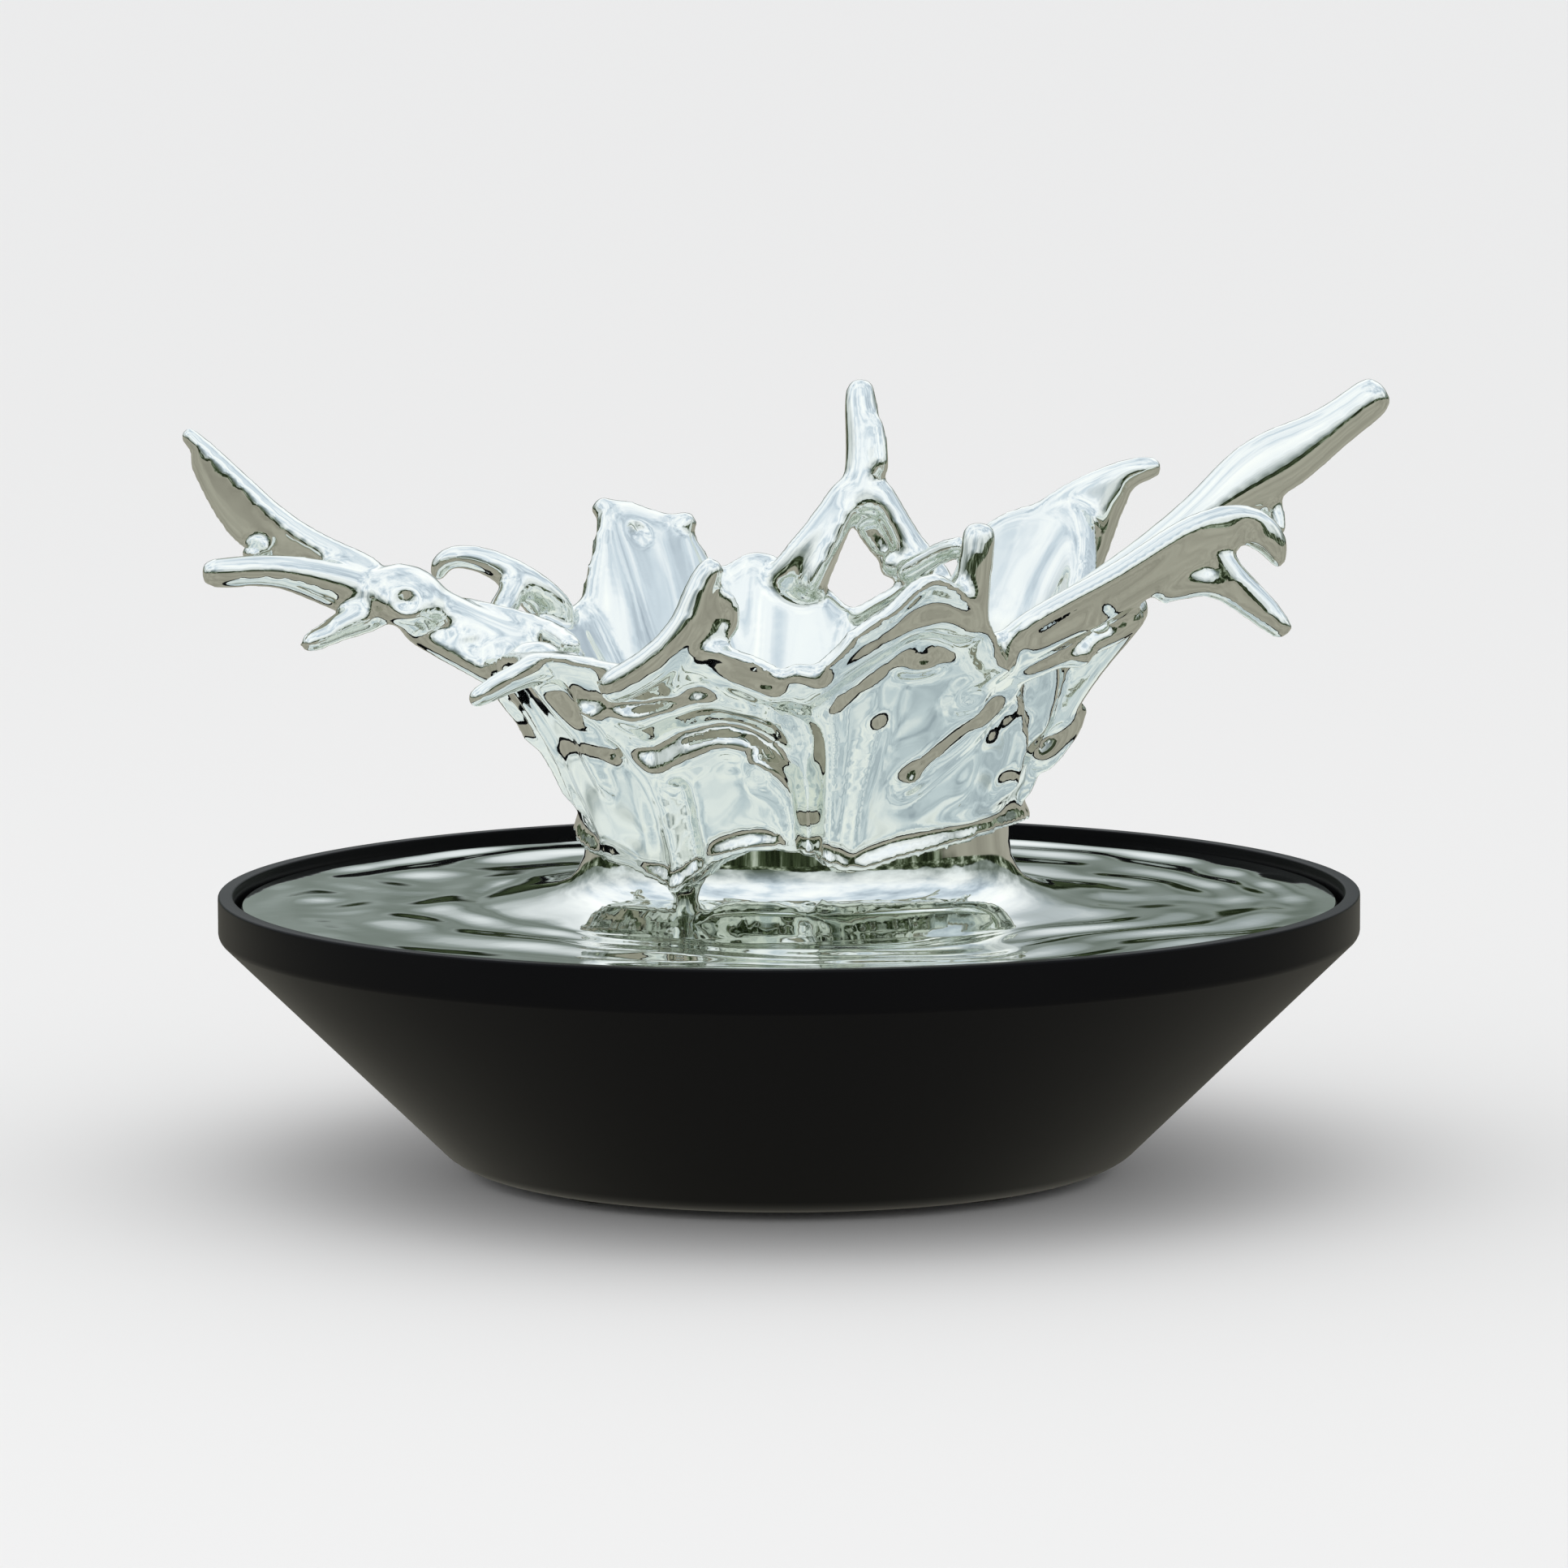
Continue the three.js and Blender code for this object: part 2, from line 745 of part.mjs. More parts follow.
// Lofts an oval section along a limb's stations. grown moves the skin out by that much.
function limbShape({ bearing, face, stations }, grown = 0) {
  const lip = lipAt(bearing);
  const angle = radians(bearing);
  const out = new THREE.Vector3(Math.cos(angle), Math.sin(angle), 0);
  const across = new THREE.Vector3(-Math.sin(angle), Math.cos(angle), 0);
  const up = new THREE.Vector3(0, 0, 1);
  const inSpace = ([a, b, c]) =>
    new THREE.Vector3().addScaledVector(out, a).addScaledVector(across, b).addScaledVector(up, c);
  const root = out.clone().multiplyScalar(lip.radius).setZ(discLevel + lip.height);
  const middles = stations.map((station) => inSpace(station).add(root));
  const path = new THREE.CatmullRomCurve3(middles, false, "catmullrom", 0.5);
  const sizes = new THREE.CatmullRomCurve3(
    stations.map(([, , , wide, thick]) => new THREE.Vector3(wide, thick, 0)),
    false,
    "catmullrom",
    0.5,
  );
  const looks = inSpace(face).normalize();
  const shape = new THREE.CylinderGeometry(1, 1, 1, LIMB.sides, LIMB.rows);
  const points = shape.attributes.position;
  for (let index = 0; index < points.count; index += 1) {
    const along = THREE.MathUtils.clamp(points.getY(index) + 0.5, 0, 1);
    const centre = path.getPoint(along);
    const tangent = path.getTangent(along);
    const size = sizes.getPoint(along);
    const wideAxis = tangent.clone().cross(looks).normalize();
    const thickAxis = wideAxis.clone().cross(tangent).normalize();
    const place = centre
      .addScaledVector(wideAxis, points.getX(index) * (size.x / 2 + grown))
      .addScaledVector(thickAxis, points.getZ(index) * (size.y / 2 + grown));
    points.setXYZ(index, place.x, place.y, place.z);
  }
  return shape;
}

// Limbs that spring from another limb rather than from the crown alone.
const GROWS_FROM = {
  left_upper_arm: ["left_stem"],
  left_lower_arm: ["left_stem", "left_upper_arm"],
  left_fork: ["left_stem", "left_lower_arm"],
  left_hook: ["left_stem"],
  back_centre_petal: ["spire_left_leg"],
  spire_left_leg: ["back_spire"],
  spire_right_leg: ["back_spire", "spire_left_leg"],
  back_right_petal: ["spire_right_leg"],
  right_long_arm: ["right_front_arm"],
  right_drop: ["right_long_arm"],
  right_fork: ["right_front_arm"],
};

function addLimbs() {
  const seat = crownShape(SEAM);
  Object.entries(LIMBS).forEach(([name, limb]) => {
    const neighbours = (GROWS_FROM[name] ?? []).map((other) => limbShape(LIMBS[other], SEAM));
    const trimmed = cut(limbShape(limb), seat, ...neighbours);
    addPiece(name, mainPiece(trimmed), MATERIAL.polishedSteel);
  });
}

// ---------------------------------------------------------------- pump

const cupBottom = floorLevel + SEAM;
const pumpBottom = cupBottom + CUP.height + SEAM;
const pumpTop = pumpBottom + PUMP.height;
const pumpAxis = pumpBottom + PUMP.axisHeight;
const voluteBack = -PUMP.voluteLength / 2;
const voluteFront = PUMP.voluteLength / 2;
const motorFront = voluteBack - SEAM;
const motorBack = motorFront - PUMP.motorLength;
const halfWidth = PUMP.width / 2;
const riserBottom = pumpTop + SEAM;
const riserTop = socketTop - SEAM;

// A round piece along X between two stations, on the pump's axis.
function roundAlongX(radius, from, to, sides = SMALL_ROUND) {
  return new THREE.CylinderGeometry(radius, radius, to - from, sides)
    .rotateZ(-Math.PI / 2)
    .translate((from + to) / 2, 0, pumpAxis);
}

function pumpBlock(from, to, inset = 0) {
  return box(from, to, inset - halfWidth, halfWidth - inset, pumpBottom + inset, pumpTop - inset);
}

const shaftBack = motorBack + PUMP.wellEnd - SHAFT.seat;
const shaftFront = voluteFront - PUMP.voluteWall + SHAFT.seat;
const shaftSocket = SHAFT.radius + SHAFT.socket;
const leadLevel = pumpBottom + LEAD.boss + 4;

const cupPlaces = [-1, 1].flatMap((side) => [
  [motorBack + CUP.inset, side * (halfWidth - CUP.inset)],
  [motorFront - CUP.inset, side * (halfWidth - CUP.inset)],
]);

function addMotor() {
  const boss = new THREE.CylinderGeometry(LEAD.boss, LEAD.boss, 2 * LEAD.bossLength, SMALL_ROUND)
    .rotateZ(-Math.PI / 2)
    .translate(motorBack, 0, leadLevel);
  const bossBore = new THREE.CylinderGeometry(
    LEAD.radius + SEAM,
    LEAD.radius + SEAM,
    2 * LEAD.bossLength,
    SMALL_ROUND,
  )
    .rotateZ(-Math.PI / 2)
    .translate(motorBack, 0, leadLevel);
  const well = roundAlongX(PUMP.rotorWell, motorBack + PUMP.wellEnd, motorFront + 1);
  const socket = roundAlongX(shaftSocket, shaftBack - SEAM, motorBack + PUMP.wellEnd + 1);
  const groove = cut(
    roundAlongX(SEAL.radius + SEAL.groove, motorFront - 2, motorFront + 1, SEAL.sides),
    roundAlongX(SEAL.radius - SEAL.groove, motorFront - 3, motorFront + 2, SEAL.sides),
  );
  const cupHoles = cupPlaces.map(([x, y]) =>
    cylinder(CUP.stud + SEAM, pumpBottom - 1, pumpBottom + CUP.studHeight + SEAM).translate(x, y, 0),
  );
  const block = joined(pumpBlock(motorBack, motorFront), boss);
  addPiece("pump_motor", cut(block, bossBore, well, socket, groove, ...cupHoles), MATERIAL.pumpPlastic);

  const seal = new THREE.TorusGeometry(SEAL.radius, SEAL.section, 6, SEAL.sides)
    .rotateY(Math.PI / 2)
    .translate(motorFront - SEAL.section, 0, pumpAxis);
  addPiece("pump_seal", seal, MATERIAL.rubber);
}

function addRotor() {
  const bore = SHAFT.radius + SHAFT.running;
  const rotorBack = motorBack + PUMP.wellEnd + ROTOR.endGap;
  const rotorFront = voluteBack + 1;
  const magnet = cut(
    roundAlongX(ROTOR.radius, rotorBack, rotorFront - SEAM),
    roundAlongX(bore, rotorBack - 1, rotorFront + 1),
  );
  addPiece("rotor_magnet", magnet, MATERIAL.magnet);

  const vaneFrom = rotorFront + IMPELLER.disc - 0.5;
  const vaneTo = rotorFront + IMPELLER.disc + IMPELLER.vane;
  const vanes = Array.from({ length: IMPELLER.vanes }, (_, index) =>
    box(
      vaneFrom,
      vaneTo,
      -IMPELLER.vaneWidth / 2,
      IMPELLER.vaneWidth / 2,
      IMPELLER.hub - 1,
      IMPELLER.radius - 1,
    )
      .rotateX((index * 2 * Math.PI) / IMPELLER.vanes)
      .translate(0, 0, pumpAxis),
  );
  const wheel = joined(
    roundAlongX(IMPELLER.radius, rotorFront, rotorFront + IMPELLER.disc),
    roundAlongX(IMPELLER.hub, rotorFront, vaneTo),
    ...vanes,
  );
  const impeller = cut(wheel, roundAlongX(bore, rotorFront - 1, vaneTo + 1));
  addPiece("impeller", impeller, MATERIAL.pumpGrey);
  addPiece("impeller_shaft", roundAlongX(SHAFT.radius, shaftBack, shaftFront), MATERIAL.ceramic);
}

function addVolute() {
  const chamber = roundAlongX(PUMP.chamber, voluteBack - 1, voluteFront - PUMP.voluteWall, 36);
  const spigotTop = pumpTop + PUMP.spigotShare * (riserTop - riserBottom);
  const spigot = cylinder(PUMP.spigot, pumpTop - 2, spigotTop);
  const spigotBore = cylinder(PUMP.spigotBore, pumpAxis, spigotTop + 1);
  const stub = pumpBlock(voluteFront - 1, voluteFront + PUMP.stubLength, STRAINER.wall + SEAM);
  const stubHollow = pumpBlock(voluteFront, voluteFront + PUMP.stubLength + 1, 2 * STRAINER.wall + SEAM);
  const eyeRing = roundAlongX(PUMP.eye, voluteFront - PUMP.voluteWall - 1, voluteFront + 1);
  const bar = box(
    voluteFront - PUMP.voluteWall - 2,
    voluteFront + 2,
    -shaftSocket - 1.2,
    shaftSocket + 1.2,
    pumpAxis - PUMP.eye - 1,
    pumpAxis + PUMP.eye + 1,
  );
  const eye = geometryOf(solidOf(eyeRing).subtract(solidOf(bar)));
  const socket = roundAlongX(shaftSocket, voluteFront - PUMP.voluteWall - 1, shaftFront + SEAM);
  const block = joined(pumpBlock(voluteBack, voluteFront), spigot, stub);
  addPiece("pump_volute", cut(block, chamber, spigotBore, stubHollow, eye, socket), MATERIAL.pumpPlastic);
}

const strainerBack = voluteFront + SEAM;
const strainerFront = strainerBack + STRAINER.length;

function addStrainer() {
  const hollow = pumpBlock(strainerBack - 1, strainerFront - STRAINER.wall, STRAINER.wall);
  const pitch = (PUMP.width - 4 * STRAINER.wall) / STRAINER.slots;
  const slots = Array.from({ length: STRAINER.slots }, (_, index) => {
    const middle = (index - (STRAINER.slots - 1) / 2) * pitch;
    const isInner = Math.abs(middle) < DIAL.radius + STRAINER.wall;
    const half = STRAINER.slotHeight / 2;
    const start = isInner ? DIAL.radius + STRAINER.wall : -half;
    return box(
      strainerFront - 2 * STRAINER.wall,
      strainerFront + 1,
      middle - STRAINER.slotWidth / 2,
      middle + STRAINER.slotWidth / 2,
      pumpAxis + start,
      pumpAxis + half,
    );
  });
  const dialHole = roundAlongX(DIAL.shaft + SEAM, strainerFront - 2 * STRAINER.wall, strainerFront + 1);
  const cover = cut(pumpBlock(strainerBack, strainerFront), hollow, dialHole, ...slots);
  addPiece("strainer_cover", cover, MATERIAL.pumpPlastic);
}

function addFlowDial() {
  const knobBack = strainerFront + SEAM;
  const shutterFront = strainerFront - STRAINER.wall - SEAM;
  const knob = roundAlongX(DIAL.radius, knobBack, knobBack + DIAL.height);
  const pointer = box(
    knobBack + DIAL.height - 1,
    knobBack + DIAL.height + 2,
    -1.5,
    1.5,
    pumpAxis,
    pumpAxis + DIAL.radius - 1,
  );
  const shaft = roundAlongX(DIAL.shaft, shutterFront - 1, knobBack + 1);
  const shutter = roundAlongX(DIAL.shutter, shutterFront - DIAL.shutterHeight, shutterFront);
  addPiece("flow_dial", joined(knob, pointer, shaft, shutter), MATERIAL.pumpGrey);
}

function addSuctionCups() {
  const top = cupBottom + CUP.height;
  const profile = [
    [0, cupBottom + 2],
    [CUP.foot - 2, cupBottom],
    [CUP.foot, cupBottom],
    [CUP.foot, cupBottom + 1],
    [CUP.neck, cupBottom + 4],
    [CUP.neck, top - 2],
    [CUP.neck + 2, top],
    [CUP.stud, top],
    [CUP.stud, top + SEAM + CUP.studHeight],
    [0, top + SEAM + CUP.studHeight],
  ];
  cupPlaces.forEach(([x, y], index) => {
    const cup = turned(profile, 16).translate(x, y, 0);
    addPiece("suction_cup_" + (index + 1), cup, MATERIAL.rubber);
  });
}

function addRiser() {
  const riser = tube(riserRadius, PUMP.spigot + SLIP, riserBottom, riserTop);
  addPiece("riser_tube", riser, MATERIAL.clearTube);
}

// ---------------------------------------------------------------- gland and inner lead

function addGland() {
  const body = joined(
    cylinder(GLAND.radius, -GLAND.inside, GLAND.outside),
    cylinder(GLAND.flange, GLAND.seat, GLAND.seat + GLAND.flangeHeight),
  );
  const bore = cylinder(LEAD.radius + SEAM, -GLAND.inside - 1, GLAND.outside + 1);
  addPiece("cable_gland", atGland(cut(body, bore)), MATERIAL.pumpPlastic);

  const sealTop = -BOWL.wall - GLAND.seat;
  const seal = tube(GLAND_SEAL.radius, GLAND.radius + SEAM, sealTop - GLAND_SEAL.thickness, sealTop);
  addPiece("gland_seal", atGland(seal), MATERIAL.rubber);

  const nutTop = sealTop - GLAND_SEAL.thickness - SEAM;
  const nut = cut(
    cylinder(GLAND_NUT.acrossCorners / 2, nutTop - GLAND_NUT.height, nutTop, 6),
    cylinder(GLAND.radius + SEAM, nutTop - GLAND_NUT.height - 1, nutTop + 1),
  );
  addPiece("gland_nut", atGland(nut), MATERIAL.pumpGrey);
}

// The lead leaves the motor's back, crosses the bowl's floor and climbs to the gland from inside.
function addInnerLead() {
  const glandPoint = (depth) =>
    new THREE.Vector3(0, GLAND.wallRadius - depth * coneOut.x, glandLevel - depth * coneOut.y);
  const onFloor = floorLevel + LEAD.radius + 1;
  const start = motorBack - SEAM;
  const route = new THREE.CatmullRomCurve3([
    new THREE.Vector3(start + LEAD.bossLength, 0, leadLevel),
    new THREE.Vector3(start - LEAD.bossLength, 0, leadLevel),
    new THREE.Vector3(start - 18, 2, leadLevel - 3),
    new THREE.Vector3(start - 32, 16, onFloor),
    new THREE.Vector3(start - 34, 40, onFloor),
    new THREE.Vector3(start - 12, 70, onFloor),
    new THREE.Vector3(-40, 90, onFloor),
    new THREE.Vector3(-14, 104, onFloor + 4),
    new THREE.Vector3(-2, 115, onFloor + 30),
    new THREE.Vector3(0, 130, onFloor + 58),
    glandPoint(34),
    glandPoint(GLAND.inside),
    glandPoint(BOWL.wall / 2),
  ]);
  const section = new THREE.Shape().absarc(0, 0, LEAD.radius, 0, 2 * Math.PI);
  const lead = new THREE.ExtrudeGeometry(section, {
    steps: LEAD.steps,
    curveSegments: LEAD.arcPieces,
    bevelEnabled: false,
    extrudePath: route,
  });
  addPiece("pump_lead", lead, MATERIAL.rubber);
}

// ---------------------------------------------------------------- the whole fountain

addBowl();
addFeet();
addDiscSupports();
addDisc();
addNozzle();
addCrown();
addFootCollar();
addStuds();
addLimbs();
addMotor();
addRotor();
addVolute();
addStrainer();
addFlowDial();
addSuctionCups();
addRiser();
addGland();
addInnerLead();

export default fountain;
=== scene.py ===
# %% [markdown]
# # A tabletop water fountain with a splash of polished steel
#
# A shallow black bowl carries a mirror-polished disc, and out of the disc rises a splash, frozen as it is
# thrown up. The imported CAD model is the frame: it says where everything is and what moves. This lesson
# builds the looks around it: a smooth bowl, a rippled disc, one flowing mesh for the splash, and finishes
# for all the parts inside.

import math

import bmesh
import bpy
from mathutils import Matrix, Vector, noise


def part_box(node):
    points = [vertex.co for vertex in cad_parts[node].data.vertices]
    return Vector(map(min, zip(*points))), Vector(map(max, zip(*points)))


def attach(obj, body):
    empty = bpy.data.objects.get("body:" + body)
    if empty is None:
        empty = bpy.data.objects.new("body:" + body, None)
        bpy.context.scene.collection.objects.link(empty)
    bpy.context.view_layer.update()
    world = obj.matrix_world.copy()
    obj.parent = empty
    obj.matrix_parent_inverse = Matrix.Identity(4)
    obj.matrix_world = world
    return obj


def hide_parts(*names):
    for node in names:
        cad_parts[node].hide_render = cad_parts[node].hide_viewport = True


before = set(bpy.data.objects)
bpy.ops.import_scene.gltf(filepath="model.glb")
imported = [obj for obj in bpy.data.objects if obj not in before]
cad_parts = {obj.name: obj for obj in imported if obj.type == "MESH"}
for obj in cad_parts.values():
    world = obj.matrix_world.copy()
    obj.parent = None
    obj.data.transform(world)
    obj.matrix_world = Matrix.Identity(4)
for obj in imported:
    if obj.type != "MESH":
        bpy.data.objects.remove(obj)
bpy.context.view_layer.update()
MM = 0.001

# %% [markdown]
# Every height on the splash is counted from the disc's top, and every size of the bowl and disc comes from
# the CAD boxes. So the looks stay in register with the frame.

# %% Levels and radii taken from the frame
bowl_low, bowl_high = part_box("bowl_shell")
disc_low, disc_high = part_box("water_disc")
rim_level = bowl_high.z
bowl_bottom = bowl_low.z
bowl_radius = (bowl_high.x - bowl_low.x) / 2
water = disc_high.z
disc_radius = (disc_high.x - disc_low.x) / 2
print("rim at", round(rim_level / MM, 1), "mm, disc at", round(water / MM, 1), "mm")

# %% [markdown]
# ## The camera
#
# The fountain is seen from a little above its rim and from far off through a long lens, so that its
# ellipses stay flat and nothing near the lens grows large. The camera looks slightly over the rim, and
# leans by a fraction of a degree.

# %% The camera
CAMERA_DISTANCE = 3.1895
CAMERA_ELEVATION = math.radians(7.694)
CAMERA_TILT = math.radians(6.953)
CAMERA_YAW = math.radians(0.032)
CAMERA_LEAN = math.radians(-0.226)
CAMERA_LENS = 185.47

eye = Vector((
    0,
    -CAMERA_DISTANCE * math.cos(CAMERA_ELEVATION),
    rim_level + CAMERA_DISTANCE * math.sin(CAMERA_ELEVATION),
))
turned = (
    Matrix.Rotation(CAMERA_YAW, 3, "Z")
    @ Matrix.Rotation(math.pi / 2 - CAMERA_TILT, 3, "X")
    @ Matrix.Rotation(CAMERA_LEAN, 3, "Z")
)
bpy.ops.object.camera_add(location=eye, rotation=turned.to_euler())
camera = bpy.context.object
camera.data.lens = CAMERA_LENS
camera.data.sensor_width = 36
camera.data.clip_end = 200
bpy.context.scene.camera = camera
print("camera stands at", [round(c, 2) for c in eye])

# %% [markdown]
# ## Helpers for modelling
#
# Operators act on whatever is selected, so each piece starts from a clean selection. Once a piece is made,
# its place is written into its mesh and its object sits at the origin, as the CAD nodes do.


# %% Selecting and finishing
def alone(piece):
    bpy.ops.object.select_all(action="DESELECT")
    piece.select_set(True)
    bpy.context.view_layer.objects.active = piece


def named(piece, name):
    piece.name = name
    piece.data.name = name
    return piece


def placed(piece):
    alone(piece)
    bpy.ops.object.transform_apply(location=True, rotation=True, scale=True)
    return piece


def applied(piece, kind, **settings):
    alone(piece)
    modifier = piece.modifiers.new(kind.title(), kind)
    for setting, value in settings.items():
        setattr(modifier, setting, value)
    bpy.ops.object.modifier_apply(modifier=modifier.name)
    return piece


def joined(pieces, name):
    bpy.ops.object.select_all(action="DESELECT")
    for piece in pieces:
        piece.select_set(True)
    bpy.context.view_layer.objects.active = pieces[0]
    bpy.ops.object.join()
    return named(bpy.context.object, name)


def select_vertices(mesh, chosen):
    """Selects the vertices that a rule picks by their place, while the mesh is in edit mode."""
    shape = bmesh.from_edit_mesh(mesh)
    for vertex in shape.verts:
        vertex.select = chosen(vertex)
    shape.select_flush(True)
    bmesh.update_edit_mesh(mesh)


def eased(share):
    """Runs smoothly from 0 to 1 as the share does, and stays there beyond."""
    share = min(1, max(0, share))
    return share * share * (3 - 2 * share)


# %% [markdown]
# ## Finishes
#
# Every finish is a small node group on a Principled shader. Large soft noise varies the colour or the
# gloss, and fine noise feeds a bump, so that no surface is a single flat colour.


# %% A helper that builds a finish
def finish(
    name, color, roughness, metallic=0.0,
    patches=20, variation=0.15, grain=900, grain_height=0.02, **sockets,
):
    """Patches and grain are noise scales, and the grain's height is in millimetres."""
    material = bpy.data.materials.new(name)
    material.use_nodes = True
    nodes = material.node_tree.nodes
    links = material.node_tree.links
    shader = nodes["Principled BSDF"]
    shader.inputs["Metallic"].default_value = metallic
    for socket, value in sockets.items():
        shader.inputs[socket.replace("_", " ")].default_value = value
    place = nodes.new("ShaderNodeTexCoord")
    soft = nodes.new("ShaderNodeTexNoise")
    soft.inputs["Scale"].default_value = patches
    soft.inputs["Detail"].default_value = 4
    fine = nodes.new("ShaderNodeTexNoise")
    fine.inputs["Scale"].default_value = grain
    shade = nodes.new("ShaderNodeValToRGB")
    shade.color_ramp.elements[0].color = [channel * (1 - variation) for channel in color] + [1]
    shade.color_ramp.elements[1].color = [min(1, channel * (1 + variation)) for channel in color] + [1]
    gloss = nodes.new("ShaderNodeMapRange")
    gloss.inputs["To Min"].default_value = roughness * (1 - variation)
    gloss.inputs["To Max"].default_value = min(1, roughness * (1 + variation))
    bump = nodes.new("ShaderNodeBump")
    bump.inputs["Strength"].default_value = 0.5
    bump.inputs["Distance"].default_value = grain_height * MM
    links.new(place.outputs["Object"], soft.inputs["Vector"])
    links.new(place.outputs["Object"], fine.inputs["Vector"])
    links.new(soft.outputs["Fac"], shade.inputs["Fac"])
    links.new(soft.outputs["Fac"], gloss.inputs["Value"])
    links.new(fine.outputs["Fac"], bump.inputs["Height"])
    links.new(shade.outputs["Color"], shader.inputs["Base Color"])
    links.new(gloss.outputs["Result"], shader.inputs["Roughness"])
    links.new(bump.outputs["Normal"], shader.inputs["Normal"])
    return material


# %% [markdown]
# The splash and the disc are cast steel, ground and buffed to a mirror. What is left of the hand work is a
# faint long waviness of the surface and a slightly uneven gloss. The bowl is satin black resin with a fine
# skin.

# %% The finishes
polished_steel = finish(
    "polished_steel", (0.80, 0.825, 0.775), 0.035, metallic=1.0,
    patches=14, variation=0.05, grain=70, grain_height=0.1,
)
satin_black = finish(
    "satin_black", (0.0035, 0.0036, 0.0043), 0.35,
    patches=9, variation=0.2, grain=2600, grain_height=0.02, Specular_IOR_Level=0.07,
)
rubber = finish("rubber", (0.02, 0.02, 0.02), 0.8, patches=60, grain=1800, grain_height=0.05)
plain_steel = finish("plain_steel", (0.55, 0.56, 0.57), 0.28, metallic=1.0, patches=90, grain=1500)
black_plastic = finish("black_plastic", (0.018, 0.02, 0.024), 0.5, patches=50, grain=1500, grain_height=0.04)
grey_plastic = finish("grey_plastic", (0.1, 0.115, 0.13), 0.45, patches=50, grain=1500, grain_height=0.04)
ferrite = finish(
    "ferrite", (0.05, 0.05, 0.053), 0.55, metallic=0.3, patches=80, grain=2000, grain_height=0.05,
)
ceramic = finish(
    "ceramic", (0.82, 0.8, 0.75), 0.22, patches=40, variation=0.04, grain=2000, grain_height=0.01,
)
clear_tube = finish(
    "clear_tube", (0.82, 0.88, 0.9), 0.12, patches=30, variation=0.04, grain=300,
    Transmission_Weight=0.85, IOR=1.42,
)
lead_jacket = finish("lead_jacket", (0.015, 0.015, 0.017), 0.6, patches=120, grain=1200, grain_height=0.06)

# %% [markdown]
# Each CAD node that stays in sight gets its finish by what it is made of. The first letters of a node's
# name say so.

# %% Finishes of the CAD nodes
FINISH_OF = {
    "foot_pad": rubber,
    "disc_bumper": rubber,
    "suction_cup": rubber,
    "nozzle_gasket": rubber,
    "pump_seal": rubber,
    "gland_seal": rubber,
    "disc_bracket": satin_black,
    "nozzle_nut": grey_plastic,
    "nozzle": plain_steel,
    "splash": plain_steel,
    "impeller_shaft": ceramic,
    "impeller": grey_plastic,
    "rotor_magnet": ferrite,
    "pump_lead": lead_jacket,
    "pump_volute": black_plastic,
    "pump": black_plastic,
    "strainer_cover": black_plastic,
    "flow_dial": grey_plastic,
    "riser_tube": clear_tube,
    "cable_gland": grey_plastic,
    "gland_nut": grey_plastic,
}
for node_name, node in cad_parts.items():
    fits = [start for start in FINISH_OF if node_name.startswith(start)]
    chosen = FINISH_OF[max(fits, key=len)] if fits else polished_steel
    node.data.materials.clear()
    node.data.materials.append(chosen)
print(len(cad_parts), "CAD nodes have their finish")

# %% [markdown]
# ## The bowl
#
# The bowl is a turned shape: a flat base, a straight cone, and an upright band with a flat rim. A lathe or
# a potter's wheel would make it from one outline, and so does Blender's spin. The outline is drawn by
# extruding a single point, its corners are rounded with a vertex bevel, and then it is spun round the
# middle.

# %% A helper that turns an outline
SPIN_STEPS = 160


def drawn(name, outline):
    """A line through [radius, height] points, in metres, in the plane Y = 0."""
    bpy.ops.object.select_all(action="DESELECT")
    bpy.ops.mesh.primitive_plane_add(size=0.01, enter_editmode=True, location=(0, 0, 0))
    bpy.ops.mesh.merge(type="CENTER")
    start = outline[0]
    bpy.ops.transform.translate(value=(start[0], 0, start[1]))
    for before, after in zip(outline, outline[1:]):
        step = (after[0] - before[0], 0, after[1] - before[1])
        bpy.ops.mesh.extrude_region_move(TRANSFORM_OT_translate={"value": step})
    bpy.ops.object.mode_set(mode="OBJECT")
    return named(bpy.context.object, name)


def rounded(piece, corner, radius, segments=5):
    """Rounds the outline's corner at a [radius, height] point."""
    alone(piece)
    place = Vector((corner[0], 0, corner[1]))
    bpy.ops.object.mode_set(mode="EDIT")
    bpy.ops.mesh.select_mode(type="VERT")
    select_vertices(piece.data, lambda vertex: (vertex.co - place).length < 1e-5)
    bpy.ops.mesh.bevel(affect="VERTICES", offset=radius, offset_type="OFFSET", segments=segments, profile=0.5)
    bpy.ops.object.mode_set(mode="OBJECT")


def spun(piece, steps=SPIN_STEPS):
    alone(piece)
    bpy.ops.object.mode_set(mode="EDIT")
    bpy.ops.mesh.select_all(action="SELECT")
    bpy.ops.mesh.spin(steps=steps, angle=2 * math.pi, center=(0, 0, 0), axis=(0, 0, 1))
    bpy.ops.mesh.select_all(action="SELECT")
    bpy.ops.mesh.remove_doubles(threshold=0.00002)
    bpy.ops.mesh.normals_make_consistent(inside=False)
    bpy.ops.object.mode_set(mode="OBJECT")
    return piece


# %% [markdown]
# The band and the rim are measured down and in from the rim's outer edge, and the wall keeps its thickness
# square to the cone, so the inside of the cone is found from its slope.

# %% The bowl's outline
BAND_HEIGHT = 16 * MM
BASE_RADIUS = 131 * MM
WALL = 6 * MM
RIM_WIDTH = 6 * MM

band_bottom = rim_level - BAND_HEIGHT
cone_run = bowl_radius - BASE_RADIUS
cone_rise = band_bottom - bowl_bottom
side = WALL * math.hypot(cone_run, cone_rise) / cone_rise
floor_top = bowl_bottom + WALL
mouth_radius = bowl_radius - RIM_WIDTH


def inner_cone(height):
    return BASE_RADIUS + (height - bowl_bottom) * cone_run / cone_rise - side


